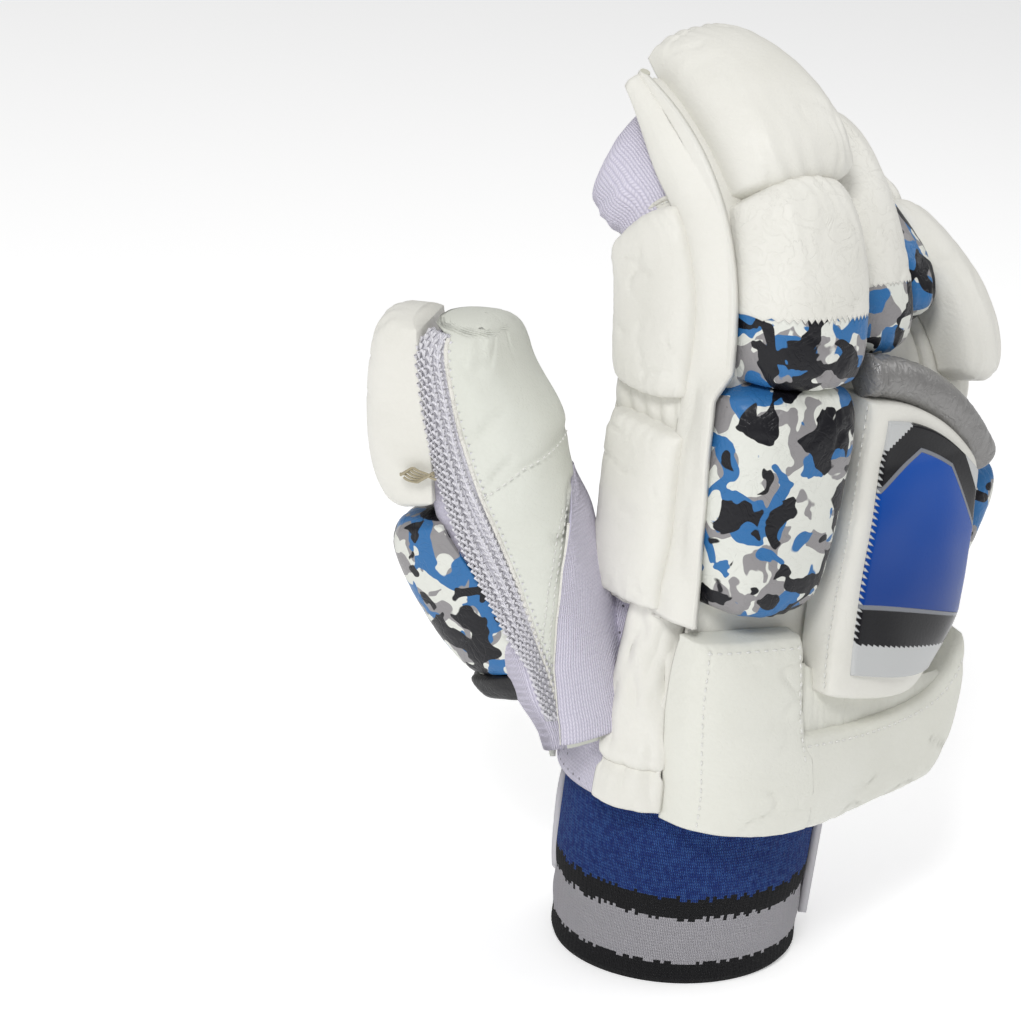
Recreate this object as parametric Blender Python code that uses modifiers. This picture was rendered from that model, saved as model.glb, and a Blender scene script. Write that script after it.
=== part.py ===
"""Cricket batting glove for the right hand, standing upright on its knitted wrist band.

+X is the little-finger side, -Y the back of the hand, +Z towards the fingertips.
Sizes below are in millimetres, and every mesh is built in metres.
"""
import math

import bpy
import bmesh
from mathutils import Matrix, Vector

MM = 0.001
GAP = 0.3            # clearance between pieces that touch
KNIT = 2.0           # wall of the knitted hand and fingers
LEATHER = 2.2        # leather of the palm and the finger fronts
KNUCKLE_Z = 178.0    # height where the fingers leave the hand
KNUCKLE_SLOPE = 0.08  # how much the rolls below the knuckles lean out towards the wrist
COLLECTION = "cricket_batting_glove"

# Wrist band: an oval tube that flares a little upwards
BAND_BOTTOM = (43.0, 37.5)
BAND_TOP = (45.0, 39.0)
BAND_HEIGHT = 70.0
BAND_WALL = 4.0
BAND_SIDES = 32

# Strap over the band's palm side: heights, angles round the band, and its raised panel
STRAP_Z = (8.0, 58.0)
STRAP_ANGLES = (232.0, 396.0)
STRAP_THICK = 3.0
STRAP_CORNER = 7.0
STRAP_STEPS = 12
STRAP_PANEL_ANGLES = (247.0, 341.0)
STRAP_PANEL_INSET = 9.0
STRAP_PANEL_THICK = 2.2

# Hand: (height, centre x, centre y, half width, half depth, squareness of the corners)
HAND = [
    (62.0, 0.0, 0.0, 48.0, 42.0, 2.0),
    (76.0, 1.0, 0.8, 48.4, 41.4, 2.1),
    (98.0, 8.0, 4.0, 51.5, 37.0, 2.4),
    (122.0, 15.5, 4.5, 55.0, 32.5, 2.6),
    (150.0, 22.5, 4.0, 57.5, 27.5, 2.8),
    (178.0, 26.0, 3.0, 58.5, 22.0, 3.2),
    (215.0, 26.0, 3.0, 58.5, 22.0, 3.2),
]
# Padding on the back of the hand: (height, thickness)
BACK_PADDING = [(62.0, 2.6), (98.0, 6.0), (122.0, 7.0), (150.0, 7.5), (178.0, 8.0), (215.0, 8.0)]
HAND_SIDES = 40

# Fingers: base x and y, sideways lean, turn of the back about the finger, straight bend near
# the knuckle, curl, where the curl starts and ends, length, half width and half depth at the
# base and at the tip, and how much the padding rises towards the little finger
FINGERS = {
    "index": dict(x=-15.5, y=3.5, lean=-0.02, turn=0.0, bend=4.0, curl=66.0, start=32.0, end=100.0,
                  length=104.0, width=(16.0, 14.0), depth=(19.5, 21.5), rise=0.16),
    "middle": dict(x=16.0, y=2.5, lean=-0.03, turn=0.0, bend=27.0, curl=56.0, start=34.0, end=100.0,
                   length=97.0, width=(14.5, 12.3), depth=(19.0, 16.0), rise=0.03),
    "ring": dict(x=44.5, y=3.0, lean=-0.04, turn=3.0, bend=49.0, curl=52.0, start=30.0, end=92.0,
                 length=90.0, width=(13.0, 11.0), depth=(18.5, 15.0), rise=-0.06),
    "little": dict(x=70.3, y=4.5, lean=-0.05, turn=6.0, bend=51.0, curl=42.0, start=24.0, end=82.0,
                   length=80.0, width=(11.8, 9.6), depth=(17.0, 13.5), rise=-0.14),
}
FINGER_SQUARE = 2.7  # squareness of a finger's cross-section
FRONT_ANGLES = (218.0, 240.0, 270.0, 300.0, 322.0)  # round a finger, its leather front
TIP_ROUND = 12.0     # length of the rounded end of a finger
LINER = 9.0          # padding between a finger and its rolls

# Thumb: it stands beside the palm with its back to the palm side
THUMB = dict(x=-47.0, y=18.0, z=84.0, facing=212.0, lean=0.10, bend=-20.0, curl=18.0, start=60.0,
             end=130.0, length=130.0, width=(20.0, 19.0), depth=(22.0, 20.0), rise=0.0)
THUMB_SQUARE = 2.4
THUMB_LOW = -12.0    # where the thumb's tube starts, inside the hand's outline
THUMB_ROWS = 8
THUMB_FRONT_ANGLES = (217.0, 225.0, 247.5, 270.0, 292.5, 315.0, 337.5)
THUMB_THICK = 17.0
# Thumb pads: lower and upper end along the thumb, and width at both
THUMB_PADS = [
    ("thumb_base_pad", 12.0, 72.0, 36.0, 38.0),
    ("thumb_tip_pad", 73.5, 133.0, 38.0, 32.0),
]
# A pad's height from its side to its middle, as a share of its thickness
CROWN_SHARES = (0.5, 1.16, 1.16, 0.5)
CROWN_SIDES = (-1.0, -0.45, 0.45, 1.0)
# Heights along the thumb at which its hole and the clearance round it are drawn
THUMB_HOLE = (4.0, 20.0, 40.0, 62.0)
THUMB_CLEARANCE = (-16.0, 0.0, 30.0, 60.0, 100.0)

# Rolls: finger, lower and upper end, width below and above, thickness below and above, and
# how far the roll sits off the finger's middle, towards the little finger
ROLLS = [
    ("index_base_roll", "index", -45.0, 24.0, 49.0, 49.0, 21.0, 22.0, 2.5),
    ("index_mid_roll", "index", 25.5, 64.0, 40.0, 39.0, 22.0, 23.0, 6.0),
    ("index_tip_roll", "index", 65.5, 111.0, 44.0, 33.0, 23.0, 12.0, 10.0),
    ("middle_mid_roll", "middle", 30.0, 70.0, 26.5, 27.0, 21.0, 20.0, 9.0),
    ("middle_tip_roll", "middle", 71.5, 105.0, 26.5, 23.0, 19.0, 9.0, 6.0),
    ("ring_mid_roll", "ring", 18.0, 60.0, 26.5, 26.0, 20.0, 19.0, 5.0),
    ("ring_tip_roll", "ring", 61.5, 96.0, 25.0, 21.0, 15.5, 7.0, 3.5),
    ("little_mid_roll", "little", 9.0, 44.0, 25.0, 24.0, 17.0, 15.5, 5.0),
    ("little_tip_roll", "little", 45.5, 87.0, 23.0, 19.0, 15.0, 9.0, 5.0),
]
ROLL_SEAT = 1.12     # how far a roll's cage stands off the padding, so its bent base clears it

# Roll on the little-finger side: its angles round the hand, heights, and distance off it
OUTER_ROLL_ANGLES = (43.0, 20.0)
OUTER_ROLL_Z = (127.0, 163.0)
OUTER_ROLL_SEAT = 8.4
OUTER_ROLL_THICK = 14.0

# Index-finger side: how far the side lies from the finger's middle at lengths along the finger
SIDE = [(-112.0, 28.0), (-80.0, 27.3), (-56.0, 23.8), (-28.0, 18.8), (0.0, 17.4), (14.0, 16.0),
        (104.0, 14.2)]
SIDE_STRIP = 2.6
SIDE_STRIP_ALONG = (-50.0, 100.0)
SIDE_STRIP_OUT = (16.0, 27.5)
SIDE_PAD = 8.5
# Side pads: lower and upper end along the finger, and how far out they start and end
SIDE_PADS = [
    ("side_pad_lower", -50.0, 9.0, -16.0, 14.5),
    ("side_pad_upper", 13.0, 72.0, -19.0, 14.5),
]
# Strip from the lower side pad to the wrist: heights, first angle round the hand, step, thickness
WRIST_STRIP_Z = (66.0, 76.0, 98.0, 120.0)
WRIST_STRIP_ANGLE = 171.0
WRIST_STRIP_STEP = 9.0
WRIST_STRIP_THICK = 3.0

# Back of the hand: the plate over the knuckles, its panel and the piping above it
PLATE_X = (12.0, 70.5)
PLATE_LOW = 99.0
PLATE_SHARES = (0.0, 0.1, 0.3, 0.5, 0.7, 0.9, 1.0)
PLATE_SEAT = 2.2
PLATE_THICK = 15.0
ARCH_TOP = 209.0
ARCH_MIDDLE = 8.0
ARCH_FALL = 0.0075
PIPING_RADIUS = 6.0
PANEL_THICK = 1.4

# Wrist guard: a block on the thumb side and a band across, with a sunk stretch between
GUARD_X = (-40.0, -3.0, 76.0)
GUARD_Z = (61.0, 84.0, 125.0)
GUARD_RISE = 14.0    # how much higher the band's end is than its middle
GUARD_SLANT = 5.0    # how much further the band's end reaches at its top
GUARD_COLUMNS = 4    # columns of the block, and of the band
WING_START = 18.0    # from here the band runs straight out
WING_SLOPE = 0.16
GUARD_THICK = 11.0
GUARD_SEAT = 2.1
CHANNEL_THICK = 4.0

# Colours from the photograph, as linear values
WHITE_LEATHER = ((0.76, 0.75, 0.70), 0.45)
PALM_LEATHER = ((0.60, 0.61, 0.55), 0.55)
KNIT_PALE = ((0.66, 0.63, 0.74), 0.85)
KNIT_BLUE = ((0.01, 0.04, 0.30), 0.9)
CAMO_BLUE = ((0.05, 0.20, 0.46), 0.45)
SILVER = ((0.30, 0.30, 0.31), 0.35)
BADGE_BLACK = ((0.01, 0.01, 0.012), 0.25)
STRAP_GREY = ((0.60, 0.59, 0.64), 0.4)


def clear_scene():
    for found in list(bpy.data.objects):
        bpy.data.objects.remove(found, do_unlink=True)


def make_collections():
    parts = bpy.data.collections.new(COLLECTION)
    cutters = bpy.data.collections.new("cutters")
    bpy.context.scene.collection.children.link(parts)
    bpy.context.scene.collection.children.link(cutters)
    return parts, cutters


def make_material(name, look):
    colour, roughness = look
    material = bpy.data.materials.new(name)
    material.use_nodes = True
    shader = material.node_tree.nodes["Principled BSDF"]
    shader.inputs["Base Color"].default_value = (*colour, 1.0)
    shader.inputs["Roughness"].default_value = roughness
    material.diffuse_color = (*colour, 1.0)
    return material


def smooth_step(value):
    value = min(max(value, 0.0), 1.0)
    return value * value * (3.0 - 2.0 * value)


def blend(low, high, share):
    return low + (high - low) * share


def oval(angle, square):
    """Point on a unit oval whose corners get squarer as square grows; angle in degrees.

    0 is the little-finger side, 90 the back, 180 the thumb side and 270 the palm.
    """
    cosine = math.cos(math.radians(angle))
    sine = math.sin(math.radians(angle))
    across = math.copysign(abs(cosine) ** (2.0 / square), cosine)
    back = math.copysign(abs(sine) ** (2.0 / square), sine)
    return across, back


def band_point(height, angle, offset):
    share = height / BAND_HEIGHT
    half_x = blend(BAND_BOTTOM[0], BAND_TOP[0], share) + offset
    half_y = blend(BAND_BOTTOM[1], BAND_TOP[1], share) + offset
    turn = math.radians(angle)
    return Vector((half_x * math.cos(turn), -half_y * math.sin(turn), height))


def hand_row(height):
    """The hand's centre, half sizes and squareness at a height, between the rows of HAND."""
    for low, high in zip(HAND, HAND[1:]):
        if height <= high[0]:
            share = (height - low[0]) / (high[0] - low[0])
            return [blend(a, b, share) for a, b in zip(low[1:], high[1:])]
    return list(HAND[-1][1:])


def hand_point(height, angle, offset):
    centre_x, centre_y, half_x, half_y, square = hand_row(height)
    across, back = oval(angle, square)
    return Vector((centre_x + (half_x + offset) * across,
                   centre_y - (half_y + offset) * back, height))


def from_table(table, place):
    """Value between the rows of a two-column table."""
    for low, high in zip(table, table[1:]):
        if place <= high[0]:
            return blend(low[1], high[1], max(place - low[0], 0.0) / (high[0] - low[0]))
    return table[-1][1]


def back_y(x, height):
    """Outside of the padding on the back: round at the wrist and a flat arch higher up."""
    centre_x, centre_y, half_x, half_y, square = hand_row(height)
    ratio = min(abs(x - centre_x) / half_x, 1.0)
    rounded = (1.0 - ratio ** square) ** (1.0 / square)
    arched = 1.0 - 0.28 * ratio ** 2.5
    flat = min(max((height - HAND[1][0]) / (HAND[3][0] - HAND[1][0]), 0.0), 1.0)
    share = blend(rounded, arched, flat)
    return centre_y - (half_y + from_table(BACK_PADDING, height)) * share


class Finger:
    """A bent axis with its own directions: along it, across it and out of its back."""

    def __init__(self, size):
        self.size = size
        facing = math.radians(size.get("facing", size["turn"] if "turn" in size else 0.0))
        # The back of a finger faces -Y when facing is 0, and turns towards +X
        self.back = Vector((math.sin(facing), -math.cos(facing), 0.0))
        self.across = Vector((math.cos(facing), math.sin(facing), 0.0))
        self.base = Vector((size["x"], size["y"], size.get("z", KNUCKLE_Z)))

    def bend_at(self, along):
        size = self.size
        near = size["bend"] * smooth_step(along / 24.0)
        if "z" in size:
            near = size["bend"]
        far = size["curl"] * smooth_step((along - size["start"]) / (size["end"] - size["start"]))
        return math.radians(near + far)

    def frame(self, along):
        """Centre, direction along, and direction out of the back at a length along the axis."""
        centre = self.base.copy()
        if along <= 0.0:
            centre += along * (self.heading(0.0) - KNUCKLE_SLOPE * self.back)
        else:
            steps = max(2, int(along / 3.0))
            for number in range(steps):
                centre += self.heading((number + 0.5) * along / steps) * (along / steps)
            centre += self.across * (self.size["lean"] * along)
        bend = self.bend_at(along)
        out = self.back * math.cos(bend) + Vector((0.0, 0.0, math.sin(bend)))
        return centre, self.heading(along), out

    def heading(self, along):
        bend = self.bend_at(along)
        return Vector((0.0, 0.0, math.cos(bend))) - self.back * math.sin(bend)

    def at(self, along, across, out):
        centre, _, back = self.frame(along)
        return centre + self.across * across + back * out

    def half_sizes(self, along):
        share = min(max(along / self.size["length"], 0.0), 1.0)
        return blend(*self.size["width"], share), blend(*self.size["depth"], share)

    def ring(self, along, angle, offset, square):
        """Point on the finger's round at an angle, offset outwards, closing in at the tip."""
        half_across, half_out = self.half_sizes(along)
        over = max(along - (self.size["length"] - TIP_ROUND), 0.0) / TIP_ROUND
        close = math.sqrt(max(1.0 - min(over, 1.0) ** 2, 0.0))
        across, back = oval(angle, square)
        return self.at(along, (half_across + offset) * across * close,
                       (half_out + offset) * back * close)

    def back_height(self, along, across):
        """Height of the padding that carries the rolls, which slopes across the finger."""
        return self.half_sizes(along)[1] + LINER + self.size["rise"] * across


def add_object(name, mesh, material, collection):
    made = bpy.data.objects.new(name, mesh)
    collection.objects.link(made)
    if material is not None:
        mesh.materials.append(material)
    return made


def finish_mesh(name, shape):
    mesh = bpy.data.meshes.new(name)
    shape.to_mesh(mesh)
    shape.free()
    mesh.shade_smooth()
    mesh.set_sharp_from_angle(angle=math.radians(50.0))
    return mesh


def surface(name, across_steps, along_steps, point, closed=False, tip=None, ring=False):
    """A surface of quads; point(i, j) gives its corners with the outside facing out.

    closed joins its two sides, tip closes its upper end, and ring joins its ends into a wall.
    """
    shape = bmesh.new()
    columns = across_steps if closed else across_steps + 1
    rows = [[shape.verts.new(point(i, j) * MM) for i in range(columns)]
            for j in range(along_steps + 1)]
    for j in range(along_steps):
        for i in range(across_steps):
            after = (i + 1) % columns
            shape.faces.new((rows[j][i], rows[j + 1][i], rows[j + 1][after], rows[j][after]))
    if ring:
        for i in range(across_steps):
            after = (i + 1) % columns
            shape.faces.new((rows[-1][i], rows[0][i], rows[0][after], rows[-1][after]))
    if tip is not None:
        top = shape.verts.new(tip * MM)
        for i in range(across_steps):
            shape.faces.new((rows[-1][i], top, rows[-1][(i + 1) % columns]))
    return finish_mesh(name, shape)


def solidify(made, thickness):
    """Give a surface its thickness, inwards from the modelled side."""
    modifier = made.modifiers.new("thickness", "SOLIDIFY")
    modifier.thickness = thickness * MM
    modifier.offset = -1.0
    return made


def solid_loft(name, sides, levels, point, collection):
    """A closed solid through rings of points, with flat ends, used as a cutter."""
    shape = bmesh.new()
    rows = [[shape.verts.new(point(level, 360.0 * i / sides) * MM) for i in range(sides)]
            for level in levels]
    for low, high in zip(rows, rows[1:]):
        for i in range(sides):
            after = (i + 1) % sides
            shape.faces.new((low[i], high[i], high[after], low[after]))
    shape.faces.new(rows[0])
    shape.faces.new(list(reversed(rows[-1])))
    bmesh.ops.recalc_face_normals(shape, faces=shape.faces)
    made = add_object(name, finish_mesh(name, shape), None, collection)
    made.hide_render = True
    made.display_type = "WIRE"
    return made


def cut(made, cutter):
    modifier = made.modifiers.new("cut", "BOOLEAN")
    modifier.operation = "DIFFERENCE"
    modifier.solver = "EXACT"
    modifier.object = cutter
    return made


def pad(name, cells, point, material, collection, keep=None, levels=1):
    """A soft pad: a coarse cage of cells, closed all round, rounded by subdivision.

    point(i, j, level) gives the cage's corners, level 0 below and 1 above.
    """
    across_steps, along_steps = cells
    shape = bmesh.new()
    corners = {}

    def corner(i, j, level):
        if (i, j, level) not in corners:
            corners[i, j, level] = shape.verts.new(point(i, j, level) * MM)
        return corners[i, j, level]

    kept = [(i, j) for j in range(along_steps) for i in range(across_steps)
            if keep is None or keep(i, j)]
    edges = {}
    for i, j in kept:
        outline = [(i, j), (i + 1, j), (i + 1, j + 1), (i, j + 1)]
        shape.faces.new([corner(*spot, 1) for spot in outline])
        # Both sides are split along the same diagonal, so that stacked pads nest
        shape.faces.new([corner(*spot, 0) for spot in outline[:1] + outline[:0:-1]])
        for start, stop in zip(outline, outline[1:] + outline[:1]):
            if (stop, start) in edges:
                del edges[stop, start]
            else:
                edges[start, stop] = True
    for start, stop in edges:
        shape.faces.new((corner(*start, 0), corner(*stop, 0), corner(*stop, 1), corner(*start, 1)))
    bmesh.ops.recalc_face_normals(shape, faces=shape.faces)
    made = add_object(name, finish_mesh(name, shape), material, collection)
    if levels:
        modifier = made.modifiers.new("rounding", "SUBSURF")
        modifier.levels = levels
        modifier.render_levels = levels
    return made


def make_wrist_band(materials, parts):
    """The band's wall goes up outside, over the flat upper rim, and down inside."""
    outside = [(BAND_HEIGHT * share, 0.0) for share in (0.0, 0.2, 0.4, 0.6, 0.8, 1.0)]
    inside = [(BAND_HEIGHT * share, -BAND_WALL) for share in (1.0, 0.5, 0.0)]
    profile = outside + inside

    def point(i, j):
        height, offset = profile[j]
        return band_point(height, 360.0 * i / BAND_SIDES, offset)

    mesh = surface("wrist_band", BAND_SIDES, len(profile) - 1, point, closed=True, ring=True)
    add_object("wrist_band", mesh, materials["knit_blue"], parts)


def make_strap(materials, parts):
    """The moulded tab over the palm side of the band, with a raised panel, and its patch."""
    low, high = STRAP_Z
    top = GAP + 0.2 + STRAP_THICK

    def tab_point(i, j):
        inset = STRAP_CORNER if i == 0 and j in (0, 3) else 0.0
        height = blend(low, high, j / 3.0) + (inset if j == 0 else -inset)
        return band_point(height, blend(*STRAP_ANGLES, i / STRAP_STEPS), top)

    mesh = surface("strap_tab", STRAP_STEPS, 3, tab_point)
    solidify(add_object("strap_tab", mesh, materials["strap_grey"], parts), STRAP_THICK)

    def panel_point(i, j, level):
        height = blend(low + STRAP_PANEL_INSET, high - STRAP_PANEL_INSET, j / 2.0)
        return band_point(height, blend(*STRAP_PANEL_ANGLES, i / 7.0),
                          top + GAP + 0.1 + STRAP_PANEL_THICK * level)

    pad("strap_panel", (7, 2), panel_point, materials["strap_grey"], parts, levels=0)


def make_hand(materials, parts, cutters):
    """The knitted inner hand, open at the wrist and at the fingers, with the thumb's hole."""
    levels = [row[0] for row in HAND[:-1]]

    def point(i, j):
        return hand_point(levels[j], 360.0 * i / HAND_SIDES, 0.0)

    mesh = surface("hand_body", HAND_SIDES, len(levels) - 1, point, closed=True)
    hand = solidify(add_object("hand_body", mesh, materials["knit_pale"], parts), KNIT)
    thumb = Finger(THUMB)

    def hole(level, angle):
        return thumb.ring(level, angle, -KNIT - 1.0, THUMB_SQUARE)

    cut(hand, solid_loft("thumb_hole", 16, THUMB_HOLE, hole, cutters))


def make_sleeve(name, finger, square, sides, start, stations, wall, material, parts):
    """A knitted finger: a tube closed at its tip, thickened inwards."""
    length = finger.size["length"]
    round_start = length - TIP_ROUND
    levels = [blend(start, round_start, j / stations) for j in range(stations + 1)]
    levels += [round_start + TIP_ROUND * share for share in (0.45, 0.8)]

    def point(i, j):
        return finger.ring(levels[j], 360.0 * i / sides, 0.0, square)

    mesh = surface(name, sides, len(levels) - 1, point, closed=True, tip=finger.at(length, 0.0, 0.0))
    return solidify(add_object(name, mesh, material, parts), wall)


def make_finger(name, finger, materials, parts):
    """A finger: its knitted sleeve, the leather of its front and the padding of its back."""
    sides, stations = 12, 7
    make_sleeve(f"{name}_sleeve", finger, FINGER_SQUARE, sides, GAP, stations, KNIT,
                materials["knit_pale"], parts)
    round_start = finger.size["length"] - TIP_ROUND

    def front_point(i, j):
        along = blend(GAP, round_start, j / stations)
        return finger.ring(along, FRONT_ANGLES[i], GAP + LEATHER, FINGER_SQUARE)

    mesh = surface(f"{name}_front", 4, stations, front_point)
    solidify(add_object(f"{name}_front", mesh, materials["palm_leather"], parts), LEATHER)
    rows = stations + 1

    def back_point(i, j, level):
        along = blend(GAP, round_start, j / stations) if j < rows else finger.size["length"] - 3.0
        half_across, half_out = finger.half_sizes(along)
        across = blend(-half_across, half_across, i / 2.0)
        below = half_out + GAP + 0.2
        above = finger.back_height(along, across) - GAP
        return finger.at(along, across, above if level else below)

    pad(f"{name}_back", (2, rows), back_point, materials["white_leather"], parts, levels=0)


def make_roll(roll, finger, material, parts):
    """A padded roll: a crowned pad that follows the bent back of its finger."""
    name, _, start, stop, wide_low, wide_high, thick_low, thick_high, shift = roll
    steps = max(3, round((stop - start) / 14.0))

    def point(i, j, level):
        share = j / steps
        along = blend(start, stop, share)
        half = blend(wide_low, wide_high, share) / 2.0
        thick = blend(thick_low, thick_high, share)
        crown = CROWN_SHARES[i]
        end = 0.62 if j in (0, steps) else 1.0
        across = shift + half * CROWN_SIDES[i]
        out = finger.back_height(along, across) + ROLL_SEAT
        return finger.at(along, across, out + thick * crown * end * level)

    return pad(name, (3, steps), point, material, parts)


def make_outer_roll(materials, parts):
    """The roll that wraps the little-finger side of the knuckles."""

    def point(i, j, level):
        height = blend(*OUTER_ROLL_Z, j / 4.0)
        crown = (0.6, 1.1, 1.1, 0.6)[i] * (0.7 if j in (0, 4) else 1.0)
        return hand_point(height, blend(*OUTER_ROLL_ANGLES, i / 3.0),
                          OUTER_ROLL_SEAT + OUTER_ROLL_THICK * crown * level)

    pad("little_base_roll", (3, 4), point, materials["camo_blue"], parts)


def make_hand_back(materials, parts):
    """Leather-covered padding on the back of the hand, which carries the pads."""
    turn = 360.0 / HAND_SIDES
    first, last = 4, 17
    levels = [64.0] + [row[0] for row in HAND[1:-2]] + [KNUCKLE_Z - 1.0]

    def point(i, j, level):
        below = hand_point(levels[j], turn * (first + i), GAP + 0.2)
        if level == 0:
            return below
        return Vector((below.x, min(back_y(below.x, below.z), below.y - 1.2), below.z))

    columns = last - first
    pad("hand_back", (columns, len(levels) - 1), point, materials["white_leather"], parts,
        keep=lambda i, j: i < columns - 1 or j > 2, levels=0)


def make_palm(materials, parts, cutters):
    turn = 360.0 / HAND_SIDES
    first, last = 23, 38
    levels = [64.0] + [row[0] for row in HAND[1:-2]] + [KNUCKLE_Z - 0.5]

    def point(i, j):
        return hand_point(levels[j], turn * (first + i), GAP + LEATHER)

    mesh = surface("palm_leather", last - first, len(levels) - 1, point)
    palm = solidify(add_object("palm_leather", mesh, materials["palm_leather"], parts), LEATHER)
    thumb = Finger(THUMB)

    def around_thumb(level, angle):
        return thumb.ring(level, angle, GAP + LEATHER + 0.4, THUMB_SQUARE)

    cut(palm, solid_loft("thumb_clearance", 16, THUMB_CLEARANCE, around_thumb, cutters))


def make_thumb(materials, parts, cutters):
    """The thumb: a knitted tube on the side of the hand, with leather inside and pads behind."""
    thumb = Finger(THUMB)
    sleeve = make_sleeve("thumb_sleeve", thumb, THUMB_SQUARE, 16, THUMB_LOW, THUMB_ROWS, KNIT,
                         materials["knit_pale"], parts)

    def around_hand(level, angle):
        return hand_point(level, angle, GAP)

    hand_solid = solid_loft("hand_clearance", HAND_SIDES, [row[0] for row in HAND],
                            around_hand, cutters)
    cut(sleeve, hand_solid)
    round_start = thumb.size["length"] - TIP_ROUND

    def front_point(i, j):
        along = blend(THUMB_LOW, round_start, (j + 1) / THUMB_ROWS)
        return thumb.ring(along, THUMB_FRONT_ANGLES[i], GAP + 0.1 + LEATHER, THUMB_SQUARE)

    mesh = surface("thumb_front", len(THUMB_FRONT_ANGLES) - 1, THUMB_ROWS - 1, front_point)
    front = solidify(add_object("thumb_front", mesh, materials["palm_leather"], parts), LEATHER)

    def around_palm(level, angle):
        return hand_point(level, angle, GAP + LEATHER + 0.4)

    cut(front, solid_loft("palm_clearance", HAND_SIDES, [row[0] for row in HAND],
                          around_palm, cutters))
    for name, start, stop, low, high in THUMB_PADS:

        def point(i, j, level, start=start, stop=stop, low=low, high=high):
            along = blend(start, stop, j / 4.0)
            half = blend(low, high, j / 4.0) / 2.0
            end = 0.7 if j in (0, 4) else 1.0
            below = thumb.half_sizes(along)[1] + GAP + 0.3
            return thumb.at(along, half * CROWN_SIDES[i],
                            below + THUMB_THICK * CROWN_SHARES[i] * end * level)

        pad(name, (3, 4), point, materials["white_leather"], parts)


def side_point(finger, along, out, lift):
    """Point on the index-finger side of the hand, lifted outwards."""
    return finger.at(along, -from_table(SIDE, along) - lift, out)


def make_side(finger, materials, parts):
    """The leather strip along the index-finger side, and the two flat pads beside it."""
    rows = 12

    def strip_point(i, j, level):
        along = blend(*SIDE_STRIP_ALONG, j / rows)
        return side_point(finger, along, blend(*SIDE_STRIP_OUT, i / 2.0), GAP + SIDE_STRIP * level)

    pad("side_strip", (2, rows), strip_point, materials["white_leather"], parts, levels=0)
    for name, start, stop, low, high in SIDE_PADS:

        def point(i, j, level, start=start, stop=stop, low=low, high=high):
            along = blend(start, stop, j / 4.0)
            crown = (0.45, 1.0, 1.0, 0.45)[i]
            end = 0.6 if j in (0, 4) else 1.0
            lift = GAP + 0.3 + SIDE_PAD * crown * end * level
            return side_point(finger, along, blend(low, high, i / 3.0), lift)

        pad(name, (3, 4), point, materials["white_leather"], parts)

    def wrist_point(i, j, level):
        return hand_point(WRIST_STRIP_Z[j], WRIST_STRIP_ANGLE - WRIST_STRIP_STEP * i,
                          GAP + 0.2 + WRIST_STRIP_THICK * level)

    pad("wrist_side_strip", (2, 3), wrist_point, materials["white_leather"], parts, levels=0)


def arch_z(x):
    """Height of the silver piping over the knuckles."""
    return ARCH_TOP - ARCH_FALL * (x - ARCH_MIDDLE) ** 2


def plate_spot(i, j, inset):
    """Place of a plate corner across the back and up it; the panel shares the inner corners."""
    x = blend(PLATE_X[0] + inset, PLATE_X[1] - inset, PLATE_SHARES[i])
    top = arch_z(x) - PIPING_RADIUS - 1.6 - inset
    shelf = HAND[4][0]
    heights = (PLATE_LOW + inset, 108.0, HAND[3][0], shelf, blend(shelf, top, 0.5),
               blend(shelf, top, 0.84), top)
    return x, heights[j]


def make_plate(materials, parts):
    """The padded plate on the back of the hand, its panel and the piping that arches over it."""
    last = len(PLATE_SHARES) - 1

    def plate_point(i, j, level):
        x, height = plate_spot(i, j, 2.5 * level)
        edge = i in (0, last) or j in (0, last)
        lift = PLATE_THICK * (0.72 if edge else 1.0) * level
        return Vector((x, back_y(x, height) - PLATE_SEAT - lift, height))

    pad("back_plate", (last, last), plate_point, materials["white_leather"], parts, levels=0)

    def panel_point(i, j, level):
        x, height = plate_spot(i + 1, j + 1, 2.5)
        lift = PLATE_THICK + GAP + 0.1 + PANEL_THICK * level
        return Vector((x, back_y(x, height) - PLATE_SEAT - lift, height))

    pad("badge_panel", (last - 2, last - 2), panel_point, materials["badge_black"], parts, levels=0)
    make_piping(materials, parts)


def make_piping(materials, parts):
    curve = bpy.data.curves.new("knuckle_piping", "CURVE")
    curve.dimensions = "3D"
    curve.bevel_depth = PIPING_RADIUS * MM
    curve.bevel_resolution = 2
    curve.use_fill_caps = True
    spline = curve.splines.new("POLY")
    steps = 12
    spline.points.add(steps)
    for number in range(steps + 1):
        x = blend(PLATE_X[0] + 1.0, 80.0, number / steps)
        height = arch_z(x)
        spot = Vector((x, back_y(x, height) - PIPING_RADIUS - 1.0, height)) * MM
        spline.points[number].co = (*spot, 1.0)
    piping = bpy.data.objects.new("knuckle_piping", curve)
    curve.materials.append(materials["silver"])
    parts.objects.link(piping)


def guard_y(x, height):
    """Inner side of the wrist guard: on the back's padding, then straight out as a wing."""
    wing = back_y(WING_START, height) + WING_SLOPE * (x - WING_START)
    return (min(back_y(x, height), wing) if x > WING_START else back_y(x, height)) - GUARD_SEAT


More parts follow.
